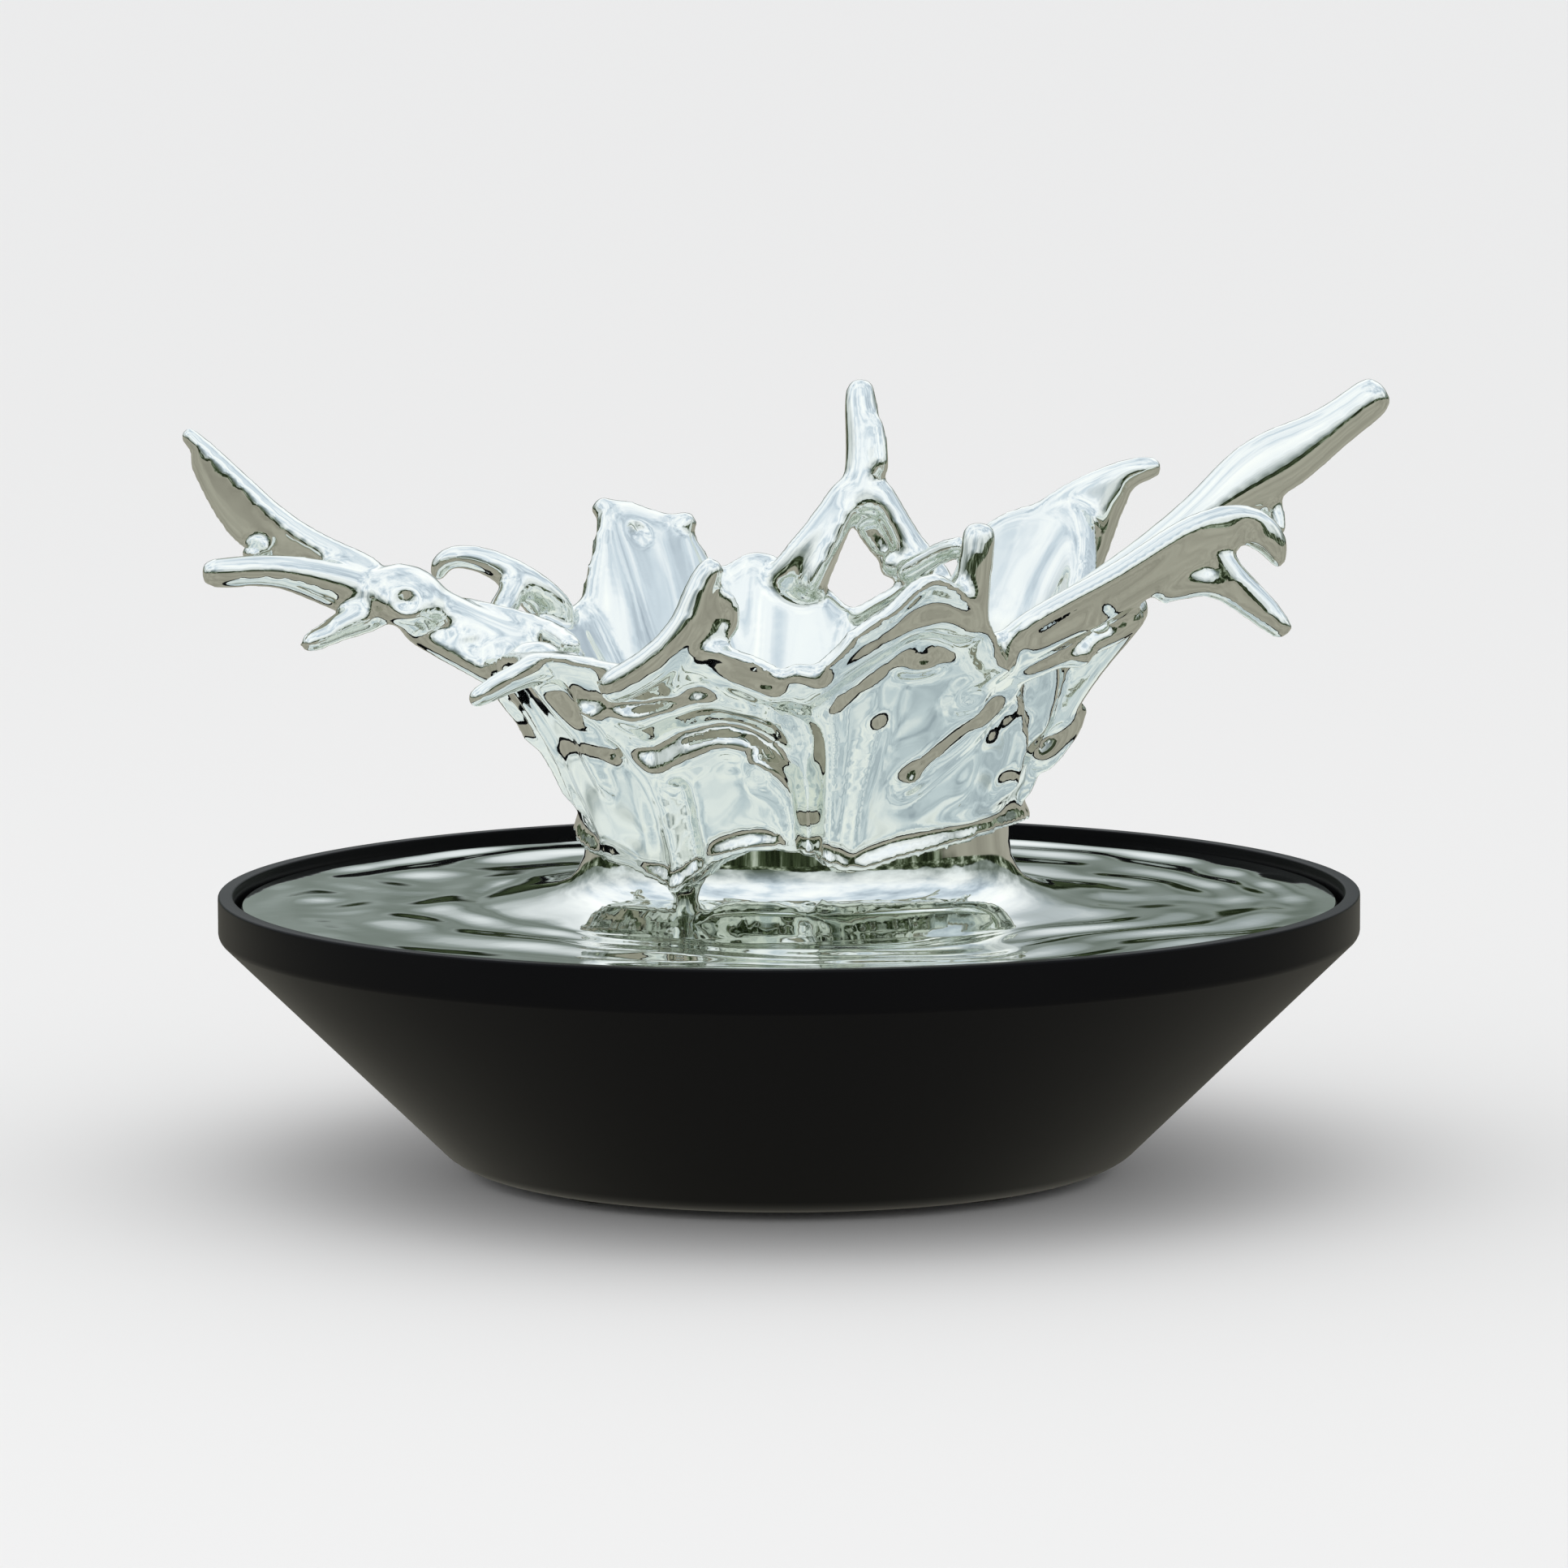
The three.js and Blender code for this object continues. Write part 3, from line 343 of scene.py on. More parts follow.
shoulder = band_bottom + (mouth_radius - inner_cone(band_bottom)) * cone_rise / cone_run
base_corner = [BASE_RADIUS, bowl_bottom]
band_corner = [bowl_radius, band_bottom]
rim_outside = [bowl_radius, rim_level]
rim_inside = [mouth_radius, rim_level]
shoulder_corner = [mouth_radius, shoulder]
floor_corner = [inner_cone(floor_top), floor_top]
bowl = drawn("bowl", [
    [0, bowl_bottom], base_corner, band_corner, rim_outside, rim_inside,
    shoulder_corner, floor_corner, [0, floor_top],
])

# %% [markdown]
# The base has a generous round, and the rim's two edges are only just broken.

# %% Its corners rounded, and the bowl spun
rounded(bowl, base_corner, 9 * MM, segments=8)
rounded(bowl, band_corner, 1.5 * MM)
rounded(bowl, rim_outside, 1.0 * MM)
rounded(bowl, rim_inside, 0.8 * MM)
rounded(bowl, floor_corner, 6 * MM)
spun(bowl)

# %% [markdown]
# The lead's gland passes through the cone at the back. The hole is cut with a short round bar turned to
# face along the wall's outward normal, where the CAD gland sits.

# %% The gland's hole
GLAND_HOLE = 6.3 * MM
DRILL_LENGTH = 30 * MM

gland_low, gland_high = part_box("cable_gland")
gland_middle = (gland_low + gland_high) / 2
slope = math.atan2(cone_run, cone_rise)
bpy.ops.mesh.primitive_cylinder_add(
    vertices=32, radius=GLAND_HOLE, depth=DRILL_LENGTH, location=gland_middle,
    rotation=(math.pi / 2 + slope, 0, 0),
)
gland_drill = bpy.context.object
applied(bowl, "BOOLEAN", object=gland_drill, operation="DIFFERENCE", solver="EXACT")
bpy.data.objects.remove(gland_drill)
alone(bowl)
bpy.ops.object.shade_smooth_by_angle(angle=math.radians(30))
bowl.data.materials.clear()
bowl.data.materials.append(satin_black)
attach(bowl, "basin")
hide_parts("bowl_shell")
print("bowl:", len(bowl.data.polygons), "faces")

# %% [markdown]
# ## The rippled disc
#
# The disc is sheet steel pressed into low rings, as of water after a stone has dropped in, and it swells up
# round the foot of the splash. Its outline is spun like the bowl's, with a point every few millimetres, so
# that there is enough mesh to carry the rings. Each point is then lifted by a rule: rings that die away
# outwards, disturbed by slow noise.

# %% The disc's outline
HEM = 5 * MM
HEM_WALL = 1.5 * MM
DISC_THICKNESS = 3 * MM
NOZZLE_HOLE = 10.4 * MM
NECK_INSIDE = 76 * MM
SWELL = [[77, 36], [82.6, 36], [83.1, 30], [83.6, 24], [84.2, 18], [86.6, 12.5], [89.5, 8.5], [95.5, 5.2]]
SWELL += [[103, 3], [111, 1.4], [118, 0.5]]
NECK_SHIFT = 3.5 * MM
RING_SPACING = 2 * MM

outline = [[NOZZLE_HOLE, water - DISC_THICKNESS], [NOZZLE_HOLE, water], [40 * MM, water], [65 * MM, water]]
outline += [[73 * MM, water + 1 * MM], [NECK_INSIDE, water + 5 * MM]]
outline += [[radius * MM, water + height * MM] for radius, height in SWELL]
ring = 122 * MM
while ring < disc_radius - 2 * MM:
    outline.append([ring, water])
    ring += RING_SPACING
outline += [[disc_radius - 0.6 * MM, water - 0.1 * MM], [disc_radius, water - 0.8 * MM]]
outline += [[disc_radius, water - HEM]]
outline += [[disc_radius - HEM_WALL, water - HEM], [disc_radius - HEM_WALL, water - DISC_THICKNESS]]
outline += [[90 * MM, water - DISC_THICKNESS], outline[0]]
disc = spun(drawn("rippled_disc", outline), steps=256)

# %% [markdown]
# The rings start outside the neck and fade out before the rim, so that the disc still meets both cleanly.
# The neck itself stands a little to the right of the middle.


# %% The rings
CALM_RADIUS = 95 * MM
FADE_IN = 25 * MM
FADE_OUT = 20 * MM
RING_WAVE = 5.2  # millimetres of radius for one radian of the wave


def ripple(place):
    """How far the disc's top is lifted there, in metres."""
    radius = math.hypot(place.x, place.y)
    wander = noise.noise(Vector((place.x * 9, place.y * 14, 0.3)))
    slow = noise.noise(Vector((place.x * 22, place.y * 30, 4.2)))
    rings = math.sin((radius / MM) / RING_WAVE + 5 * wander)
    calm = min(1, max(0, (radius - CALM_RADIUS) / FADE_IN)) * min(1, (disc_radius - radius) / FADE_OUT)
    return calm * (0.42 * rings + 0.9 * slow) * MM


def neck_share(radius):
    """1 at the neck, falling to 0 towards the nozzle and out on the open disc."""
    return min(eased((radius / MM - 40) / 25), eased((122 - radius / MM) / 32))


for vertex in disc.data.vertices:
    radius = math.hypot(vertex.co.x, vertex.co.y)
    if vertex.co.z > water - 0.05 * MM and radius > CALM_RADIUS:
        vertex.co.z += ripple(vertex.co)
    vertex.co.x += NECK_SHIFT * neck_share(radius)
alone(disc)
bpy.ops.object.shade_smooth_by_angle(angle=math.radians(40))
disc.data.materials.clear()
disc.data.materials.append(polished_steel)
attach(disc, "splash_top")
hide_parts("water_disc", "foot_collar")
print("disc:", len(disc.data.polygons), "faces")

# %% [markdown]
# ## The splash
#
# The real splash is one casting: a hollow crown whose lip is thrown up into petals, blades and long arms
# that melt into each other. It could be sculpted by hand. Here each limb is modelled as a string of rings,
# the crown is a sheet rolled up into a tube, and then everything is joined and remeshed into one skin,
# which is smoothed until the limbs flow into each other as molten metal does.
#
# Places on the splash are given in millimetres as [to the right, to the back, above the disc].


# %% Places in space and on the crown's wall
def above(right, back, height):
    return Vector((right * MM, back * MM, water + height * MM))


def around(bearing, radius, height):
    angle = math.radians(bearing)
    return above(radius * math.cos(angle), radius * math.sin(angle), height)


def between(table, bearing):
    """The values at a bearing, read smoothly from rows of [bearing, value, value] that go right round."""
    earlier = [[row[0] - 360, *row[1:]] for row in table[-2:]]
    later = [[row[0] + 360, *row[1:]] for row in table[:2]]
    rows = earlier + table + later
    turn = bearing % 360
    spot = next(index for index in range(1, len(rows) - 2) if rows[index + 1][0] > turn)
    before, left, right, after = rows[spot - 1 : spot + 3]
    share = (turn - left[0]) / (right[0] - left[0])
    values = []
    for first, second, third, fourth in zip(before[1:], left[1:], right[1:], after[1:]):
        bend = (
            (2 * first - 5 * second + 4 * third - fourth) * share**2
            + (3 * second - first - 3 * third + fourth) * share**3
        )
        values.append(second + ((third - first) * share + bend) / 2)
    return values


# %% [markdown]
# The lip runs round the top through [bearing, radius, height], and the crown's lower edge, the skirt, hangs
# over the neck of the disc in waves. The bearing is counted from the right, round the back.

# %% The lip of the crown
LIP = [
    [10, 122, 108],
    [20, 128, 118],
    [27, 138, 134],
    [34, 144, 148],
    [42, 138, 148],
    [48, 131, 143],
    [51, 127, 134],
    [54, 123, 117],
    [64, 122, 116],
    [71, 123, 109],
    [78, 124, 102],
    [84, 126, 112],
    [90, 128, 120],
    [96, 129, 125],
    [101, 130, 119],
    [105, 133, 121],
    [109, 140, 137],
    [114, 142, 142],
    [119, 142, 146],
    [123, 139, 144],
    [127, 132, 126],
    [131, 127, 109],
    [142, 122, 104],
    [160, 119, 101],
    [180, 117, 95],
    [196, 119, 98],
    [207, 122, 103],
    [225, 124, 106],
    [240, 123, 104],
    [248, 124, 107],
    [256, 126, 112],
    [264, 126, 108],
    [271, 125, 100],
    [276, 128, 106],
    [282, 134, 120],
    [287, 139, 128],
    [292, 142, 139],
    [296, 142, 137],
    [301, 139, 127],
    [305, 135, 118],
    [309, 130, 107],
    [316, 130, 116],
    [326, 131, 123],
    [340, 127, 112],
    [355, 121, 105],
]

# %% [markdown]
# The skirt's rows read as the lip's do. Between the two the wall opens by a power of its height.

# %% The skirt of the crown
SKIRT = [
    [0, 91, 31],
    [25, 90, 25],
    [50, 88.5, 31],
    [80, 86, 24],
    [110, 84, 29],
    [140, 82, 22],
    [170, 80.5, 27],
    [195, 80.5, 23],
    [217, 81.5, 20],
    [227, 82.5, 18],
    [235, 84, 15],
    [241, 85, 12],
    [246, 85.5, 18],
    [252, 86, 25],
    [262, 87, 30],
    [272, 88, 28],
    [285, 89, 21],
    [297, 90, 25],
    [315, 91, 29],
    [330, 91.5, 32],
    [345, 91.5, 32],
]
FLARE = 1.35  # above 1 the wall opens faster towards the lip
SWELLING = 2.5  # how far slow noise moves the wall, in millimetres
DEGREE = 1.9  # millimetres of wall in one degree of bearing, about half way up

# %% [markdown]
# The wall is not plain: it carries pillows, folds and half-formed drops. Poured metal has no sharp seams,
# so the relief is a rule and not a set of added pieces. Near a stroke drawn on the wall the face rises by a
# soft hump, or sinks by one. Over a pad it rises to a soft plateau, and round a ring it rises to a low
# circular wave.

# %% The strokes
# A stroke is its rise, its reach to either side, and the [bearing, height] points that it runs through.
STROKES = [
    [4.5, 7, [241, 10], [241, 30], [240, 46], [238, 60], [233, 74], [226, 86]],
    [-4, 5, [246, 22], [246, 40], [245, 56]],
    [5.5, 8, [243, 60], [249, 68], [256, 72], [262, 71], [267, 63], [270, 51], [271, 40]],
    [-5, 7, [238, 70], [246, 79], [255, 83], [262, 82], [268, 74], [273, 60], [274, 46]],
    [5, 8, [232, 84], [240, 81], [248, 86], [257, 90], [266, 84]],
    [5, 8, [236, 96], [244, 98], [252, 94], [260, 97], [267, 92]],
    [-4, 6, [238, 89], [246, 92], [254, 96], [262, 90]],
    [-6, 8, [275, 30], [275, 56], [274, 74], [271, 88]],
    [4, 6, [279, 26], [279, 52], [279, 74], [278, 90], [275, 99]],
    [2.5, 5, [285, 30], [286, 56], [288, 80]],
    [4, 8, [273, 91], [278, 98], [284, 109], [290, 118], [296, 122], [303, 115], [308, 101]],
    [-4, 6, [276, 90], [281, 98], [287, 107], [293, 113], [299, 110]],
    [4, 7, [246, 101], [252, 104], [259, 103], [266, 96], [272, 90]],
    [5.5, 7, [297, 56], [301, 61], [305, 67], [310, 76], [314, 84]],
    [-3.5, 3.5, [300, 59], [304, 65], [309, 74]],
    [4.5, 8, [309, 103], [315, 96], [322, 84], [327, 70], [328, 52]],
    [-3.5, 6, [315, 105], [321, 95], [327, 82], [331, 66]],
    [4, 8, [322, 114], [328, 103], [333, 90], [337, 72]],
    [4.5, 8, [340, 102], [344, 84], [346, 66], [344, 46]],
    [4, 7, [214, 95], [218, 82], [222, 70], [223, 54]],
    [-4, 6, [220, 93], [225, 80], [229, 68]],
    [4.5, 8, [202, 93], [204, 78], [206, 62], [204, 42]],
    [4.5, 9, [186, 86], [188, 68], [184, 44]],
    [5, 9, [150, 94], [146, 76], [144, 58], [146, 38]],
    [-4, 8, [156, 90], [153, 70], [154, 48]],
    [5, 9, [107, 86], [107, 74], [110, 46]],
    [5, 9, [70, 86], [68, 66], [66, 42]],
    [-4, 8, [61, 84], [60, 58]],
    [5, 9, [18, 88], [16, 70], [18, 42]],
    [4, 9, [84, 88], [92, 92], [101, 88], [112, 92], [122, 86]],
    [4, 9, [28, 90], [38, 86], [48, 90], [58, 82]],
]

# %% [markdown]
# Pads make the broad pillows between the strokes, and rings make the half-formed drops.

# %% The pads and the rings
# A pad is its rise, its middle's bearing and height, its half width in degrees, its half height, and its
# softness.
PADS = [
    [4.5, 257, 46, 13, 25, 0.35],
    [3, 222, 46, 16, 26, 0.3],
    [3, 322, 58, 14, 24, 0.5],
    [4, 137, 56, 22, 30, 0.5],
    [4, 41, 62, 20, 30, 0.5],
    [3.5, 88, 56, 14, 26, 0.5],
    [3, 168, 62, 12, 22, 0.6],
]
# A ring is its rise, its middle's bearing and height, its radius, the width of the wave, and its stretch
# upwards.
RINGS = [
    [3.5, 294, 107, 7, 4.5, 0.7],
    [2, 306, 91, 6, 4, 0.9],
    [2.2, 320, 86, 6, 4, 1.5],
    [3, 228, 78, 8, 4.5, 0.7],
    [3, 264, 62, 3.5, 3, 1.3],
    [2.5, 325, 50, 3.5, 4.5, 1.0],
    [3, 130, 72, 9, 5, 0.8],
    [3, 40, 78, 8, 5, 0.8],
    [3, 190, 74, 8, 5, 1.2],
]

# %% [markdown]
# The relief at a place is the sum of all that reach it. A stroke that lies well away is passed over.


# %% The relief of the wall
def from_bearing(bearing, start):
    """How many millimetres of wall lie between two bearings, the short way round."""
    return ((bearing - start + 180) % 360 - 180) * DEGREE


def stroke_gap(bearing, height, points):
    """How far a place on the wall is from a stroke, in millimetres."""
    spot = Vector((from_bearing(bearing, points[0][0]), height))
    path = [Vector((from_bearing(at, points[0][0]), up)) for at, up in points]
    gaps = []
    for start, end in zip(path, path[1:]):
        along = end - start
        share = min(1, max(0, (spot - start).dot(along) / along.length_squared))
        gaps.append((spot - start - along * share).length)
    return min(gaps)


def relief(bearing, height):
    """How far the wall's face stands out there, in millimetres."""
    lift = 0
    for rise, reach, *points in STROKES:
        bearings = [from_bearing(point[0], bearing) for point in points]
        heights = [point[1] for point in points]
        beside = min(bearings) > reach or max(bearings) < -reach
        if beside or height < min(heights) - reach or height > max(heights) + reach:
            continue
        lift += rise * eased(1 - stroke_gap(bearing, height, points) / reach)
    for rise, middle, middle_height, half_width, half_height, softness in PADS:
        across = from_bearing(bearing, middle) / (half_width * DEGREE)
        up = (height - middle_height) / half_height
        lift += rise * eased((1 - (across**4 + up**4) ** 0.25) / softness)
    for rise, middle, middle_height, radius, width, stretch in RINGS:
        away = math.hypot(from_bearing(bearing, middle), (height - middle_height) / stretch)
        lift += rise * eased(1 - abs(away - radius) / width)
    return lift


# %% [markdown]
# The foot and the lip are rolled outwards like the edge of a poured sheet. Below the foot roll the wall
# ends, and the neck under it lies in shadow.


# %% A place on the crown's outer face
FOOT_ROLL = 4.5
LIP_ROLL = 3
ROLL_REACH = 7


def on_wall(bearing, height):
    """A place on the crown's outer face, without its relief."""
    lip_radius, lip_height = between(LIP, bearing)
    foot_radius, foot_height = between(SKIRT, bearing)
    up = max(0, (height - foot_height) / (lip_height - foot_height))
    radius = foot_radius + (lip_radius - foot_radius) * up**FLARE
    angle = math.radians(bearing)
    spot = Vector((math.cos(angle) * 2.6, math.sin(angle) * 2.6, height / 34))
    swell = noise.noise(spot) * SWELLING * min(1, 3 * up)
    foot_roll = FOOT_ROLL * eased(1 - abs(height - foot_height - 2) / ROLL_REACH)
    lip_roll = LIP_ROLL * eased(1 - abs(height - lip_height + 2) / ROLL_REACH)
    return around(bearing, radius + swell + foot_roll + lip_roll, height)


# %% [markdown]
# The crown's wall starts as a flat grid. Its columns are rolled round the middle and its rows are spread
# between the skirt and the lip, so that the grid's two ends meet. Merged there, and thickened inwards, it
# is a closed tube with a wavy top and bottom. Then the relief moves its outer points. The inner points only
# follow where the outer face sinks, so the wall keeps its thickness and its inside stays smooth.

# %% The crown's wall
WALL_COLUMNS = 400
WALL_ROWS = 72
CROWN_THICKNESS = 7 * MM


def wall_place(along, up):
    bearing = 360 * along
    lip_height = between(LIP, bearing)[1]
    foot_height = between(SKIRT, bearing)[1]
    return on_wall(bearing, foot_height + (lip_height - foot_height) * up)


bpy.ops.object.select_all(action="DESELECT")
bpy.ops.mesh.primitive_grid_add(x_subdivisions=WALL_COLUMNS, y_subdivisions=WALL_ROWS, size=1)
crown = named(bpy.context.object, "crown")
for vertex in crown.data.vertices:
    vertex.co = wall_place(vertex.co.x + 0.5, vertex.co.y + 0.5)
alone(crown)
bpy.ops.object.mode_set(mode="EDIT")
bpy.ops.mesh.select_all(action="SELECT")
bpy.ops.mesh.remove_doubles(threshold=0.0001)
bpy.ops.mesh.normals_make_consistent(inside=False)
bpy.ops.object.mode_set(mode="OBJECT")
outer_points = len(crown.data.vertices)
applied(crown, "SOLIDIFY", thickness=CROWN_THICKNESS, offset=-1)
for vertex in crown.data.vertices:
    bearing = math.degrees(math.atan2(vertex.co.y, vertex.co.x)) % 360
    height = (vertex.co.z - water) / MM
    lift = relief(bearing, height) * eased((between(LIP, bearing)[1] - height) / 8)
    if vertex.index >= outer_points:
        lift = min(0, lift)
    vertex.co += Vector((vertex.co.x, vertex.co.y, 0)).normalized() * lift * MM
print("crown wall:", len(crown.data.polygons), "faces")

# %% [markdown]
# A limb is a string of rings along a path. Each ring is a circle added square to the path, squeezed to the
# limb's width and thickness there, and bridged to the ring before it. Both ends are filled, and a
# subdivision rounds the string into a smooth bar with blunt ends. The flat side of a wide limb looks along
# the direction given.

# %% A helper that makes a limb
SIDES = 12
PLUMP = 2.2  # what the smoothing takes off a limb later


def pick_rings(mesh, first, last):
    shape = bmesh.from_edit_mesh(mesh)
    shape.verts.ensure_lookup_table()
    for edge in shape.edges:
        rings = {corner.index // SIDES for corner in edge.verts}
        edge.select = len(rings) == 1 and rings <= {first, last}
    bmesh.update_edit_mesh(mesh)


def limb(name, stations, flat=(0, -1, 0)):
    """Stations are [right, back, height, width, thickness] in millimetres."""
    middles = [above(*station[:3]) for station in stations]
    sizes = [[width + PLUMP, thickness + PLUMP] for *_, width, thickness in stations]
    last_step = (middles[-1] - middles[-2]).normalized()
    middles.append(middles[-1] + last_step * min(sizes[-1]) * 0.25 * MM)
    sizes.append([sizes[-1][0] * 0.6, sizes[-1][1] * 0.6])
    bpy.ops.object.select_all(action="DESELECT")
    for index, (middle, size) in enumerate(zip(middles, sizes)):
        ahead = middles[min(index + 1, len(middles) - 1)]
        behind = middles[max(index - 1, 0)]
        along = (ahead - behind).normalized()
        wide = along.cross(Vector(flat)).normalized()
        thick = along.cross(wide)
        turn = Matrix((wide, thick, along)).transposed()
        bpy.ops.mesh.primitive_circle_add(
            vertices=SIDES, radius=0.5 * MM, location=middle, rotation=turn.to_euler(),
            enter_editmode=index == 0,
        )
        bpy.ops.transform.resize(
            value=(size[0], size[1], 1), center_override=middle, constraint_axis=(True, True, True),
            orient_type="GLOBAL", orient_matrix=turn, orient_matrix_type="GLOBAL",
        )
    piece = bpy.context.object
    bpy.ops.mesh.select_mode(type="EDGE")
    for index in range(len(middles) - 1):
        pick_rings(piece.data, index, index + 1)
        bpy.ops.mesh.bridge_edge_loops()
    for end in (0, len(middles) - 1):
        pick_rings(piece.data, end, end)
        bpy.ops.mesh.edge_face_add()
    bpy.ops.mesh.select_all(action="SELECT")
    bpy.ops.mesh.normals_make_consistent(inside=False)
    bpy.ops.object.mode_set(mode="OBJECT")
    placed(piece)
    applied(piece, "SUBSURF", levels=2, render_levels=2)
    return named(piece, name)


# %% [markdown]
# ### The arms on the left
#
# A stem leaves the crown on the left, swells into a head like a fish's, and splits in three: an upper arm
# with a thin fin hung below it, a lower arm, and a short fork. Behind them a hook curls back over the stem.
# The limbs are thick and round, so that each has a bright back and a darker belly.

# %% The left arms
left_arms = [
    limb("left_stem", [
        [-84, -6, 80, 44, 22], [-100, -5, 90, 36, 22], [-113, -4, 99, 27, 21], [-124, -3, 106, 21, 19],
        [-134, -3, 112, 19, 18], [-142, -3, 116, 20, 18], [-150, -4, 119, 20, 19], [-158, -4, 121, 18, 16],
        [-165, -3, 123, 15, 14], [-172, -2, 126, 17, 13], [-180, 0, 129, 18, 12],
    ]),
    limb("left_upper_bar", [
        [-158, 2, 126, 12, 12], [-172, 4, 133, 12, 12], [-184, 7, 138, 11, 11], [-196, 11, 146, 9, 10],
        [-206, 14, 154, 8, 9], [-218, 17, 166, 7, 8.5], [-228, 20, 175, 6.5, 8], [-237, 22, 183, 6, 7],
    ]),
    limb("left_upper_fin", [
        [-186, 8, 135, 12, 7], [-198, 11, 140, 18, 6.5], [-208, 14, 146, 23, 6], [-216, 16, 154, 22, 6],
        [-225, 18, 164, 15, 6], [-233, 20, 175, 8, 5],
    ], flat=(0, -1, -0.35)),
    limb("left_lower_arm", [
        [-162, -4, 120, 18, 14], [-176, -8, 125, 18, 14], [-187, -12, 129, 15, 13],
        [-197, -16, 132, 12, 12],
        [-208, -19, 133, 11, 11], [-218, -21, 132, 11, 10], [-226, -22, 132, 10, 10],
    ]),
    limb("left_fork", [
        [-158, -8, 116, 13, 10], [-167, -12, 113, 12, 9], [-176, -18, 110, 10, 8], [-184, -24, 106, 8, 7],
        [-188, -27, 104, 6, 5.5],
    ]),
    limb("left_belly", [
        [-152, -8, 111, 8, 9], [-140, -10, 104, 9, 9], [-126, -13, 97, 9, 9], [-112, -18, 90, 10, 9],
        [-98, -24, 82, 10, 9],
    ]),
    limb("left_back_ridge", [
        [-134, 4, 117, 8, 9], [-120, 5, 113, 8, 9], [-104, 2, 110, 8, 9], [-90, -12, 106, 8, 9],
        [-84, -30, 103, 8, 9],
    ]),
    limb("left_hook", [
        [-140, 72, 119, 4, 6], [-141, 72, 124, 7, 9], [-138, 71, 129, 8, 10], [-129, 70, 130, 8.5, 10],
        [-118, 68, 127, 10, 10], [-108, 67, 121, 13, 10], [-99, 70, 113, 16, 10], [-92, 75, 103, 18, 9],
    ]),
    limb("left_hook_web", [
        [-108, 66, 121, 9, 9], [-112, 60, 113, 10, 9], [-116, 48, 106, 11, 9], [-119, 32, 103, 12, 10],
        [-119, 14, 103, 12, 10],
    ]),
    limb("left_front_tongue", [
        [-76, -74, 98, 20, 11], [-89, -72, 101, 17, 10], [-101, -74, 98, 13, 9], [-112, -77, 93, 10, 8],
        [-121, -80, 88, 7, 6],
    ], flat=(0, -0.6, -1)),
]

# %% [markdown]
# ### The petals and the spire at the back
#
# The petals are the crown's own lip thrown high, so they only need their knobs. The spire stands on two
# legs that leave an arch between them, and a rib runs up its front.

# %% The back of the splash
back_limbs = [
    limb("back_left_knob", [[-64, 124, 137, 14, 11], [-71, 122, 142, 10, 10], [-77, 120, 145, 8, 9]]),
    limb("back_left_second_knob", [
        [-50, 128, 131, 12, 10], [-44, 128, 136, 10, 10], [-40, 127, 139, 8, 9],
    ]),
    limb("spire", [
        [31, 119, 139, 27, 13], [31, 121, 149, 20, 14], [31, 124, 157, 14, 14], [31, 127, 166, 13, 13],
        [31, 130, 176, 13.5, 12], [30, 134, 186, 12.5, 11], [30, 137, 193, 10, 9],
    ]),
    limb("spire_right_rib", [
        [38, 118, 156, 6, 8], [37.5, 121, 165, 6, 8], [37, 124, 173, 6, 7], [36, 127, 180, 4, 5],
    ]),
    limb("spire_left_leg", [
        [28, 121, 154, 14, 11], [23, 119, 147, 14, 11], [17, 117, 137, 16, 11], [11, 115, 127, 20, 10],
        [5, 116, 117, 24, 10], [-1, 118, 106, 28, 10],
    ]),
    limb("spire_left_leg_rib", [
        [26, 116, 148, 6, 7], [22, 113, 139, 6, 7], [18, 111, 130, 6, 7], [13, 109, 121, 6, 7],
        [9, 109, 112, 6, 7],
    ]),
    limb("spire_right_leg", [
        [35, 121, 154, 12, 11], [40, 119, 146, 10, 11], [45, 117, 138, 10, 11], [49, 115, 130, 11, 10],
        [54, 112, 122, 15, 10],
        [60, 106, 111, 20, 10],
    ]),
    limb("spire_recess_web", [
        [33, 124, 147, 14, 7], [34, 123, 139, 16, 7], [37, 121, 131, 12, 7], [40, 119, 125, 7, 6],
    ]),
    limb("spire_foot_knob", [
        [37, 117, 122, 9, 9], [43, 116, 121, 10, 10], [50, 112, 120, 10, 10], [58, 106, 121, 9, 9],
    ]),
    limb("spire_foot_crest", [
        [44, 104, 117, 9, 9], [54, 98, 123, 8, 9], [63, 92, 129, 8, 9], [70, 82, 132, 7, 8],
    ]),
    limb("back_right_tongue", [
        [100, 90, 128, 30, 11], [112, 86, 141, 28, 11], [122, 86, 151, 19, 11], [132, 87, 158, 13, 10],
        [141, 88, 162, 10, 9], [149, 89, 163, 7, 8],
    ]),
    limb("back_right_web", [
        [110, 76, 112, 20, 10], [116, 79, 126, 22, 10], [121, 82, 138, 22, 10], [127, 85, 149, 17, 10],
        [134, 86, 156, 12, 9],
    ]),
]

# %% [markdown]
# ### The arms on the right
#
# The long arm is a bar that flattens into a spoon half way and ends in a blunt cap. The front arm is a leaf
# with a thick upper rim, a hooked tip and a fork of two blades with a web between them.

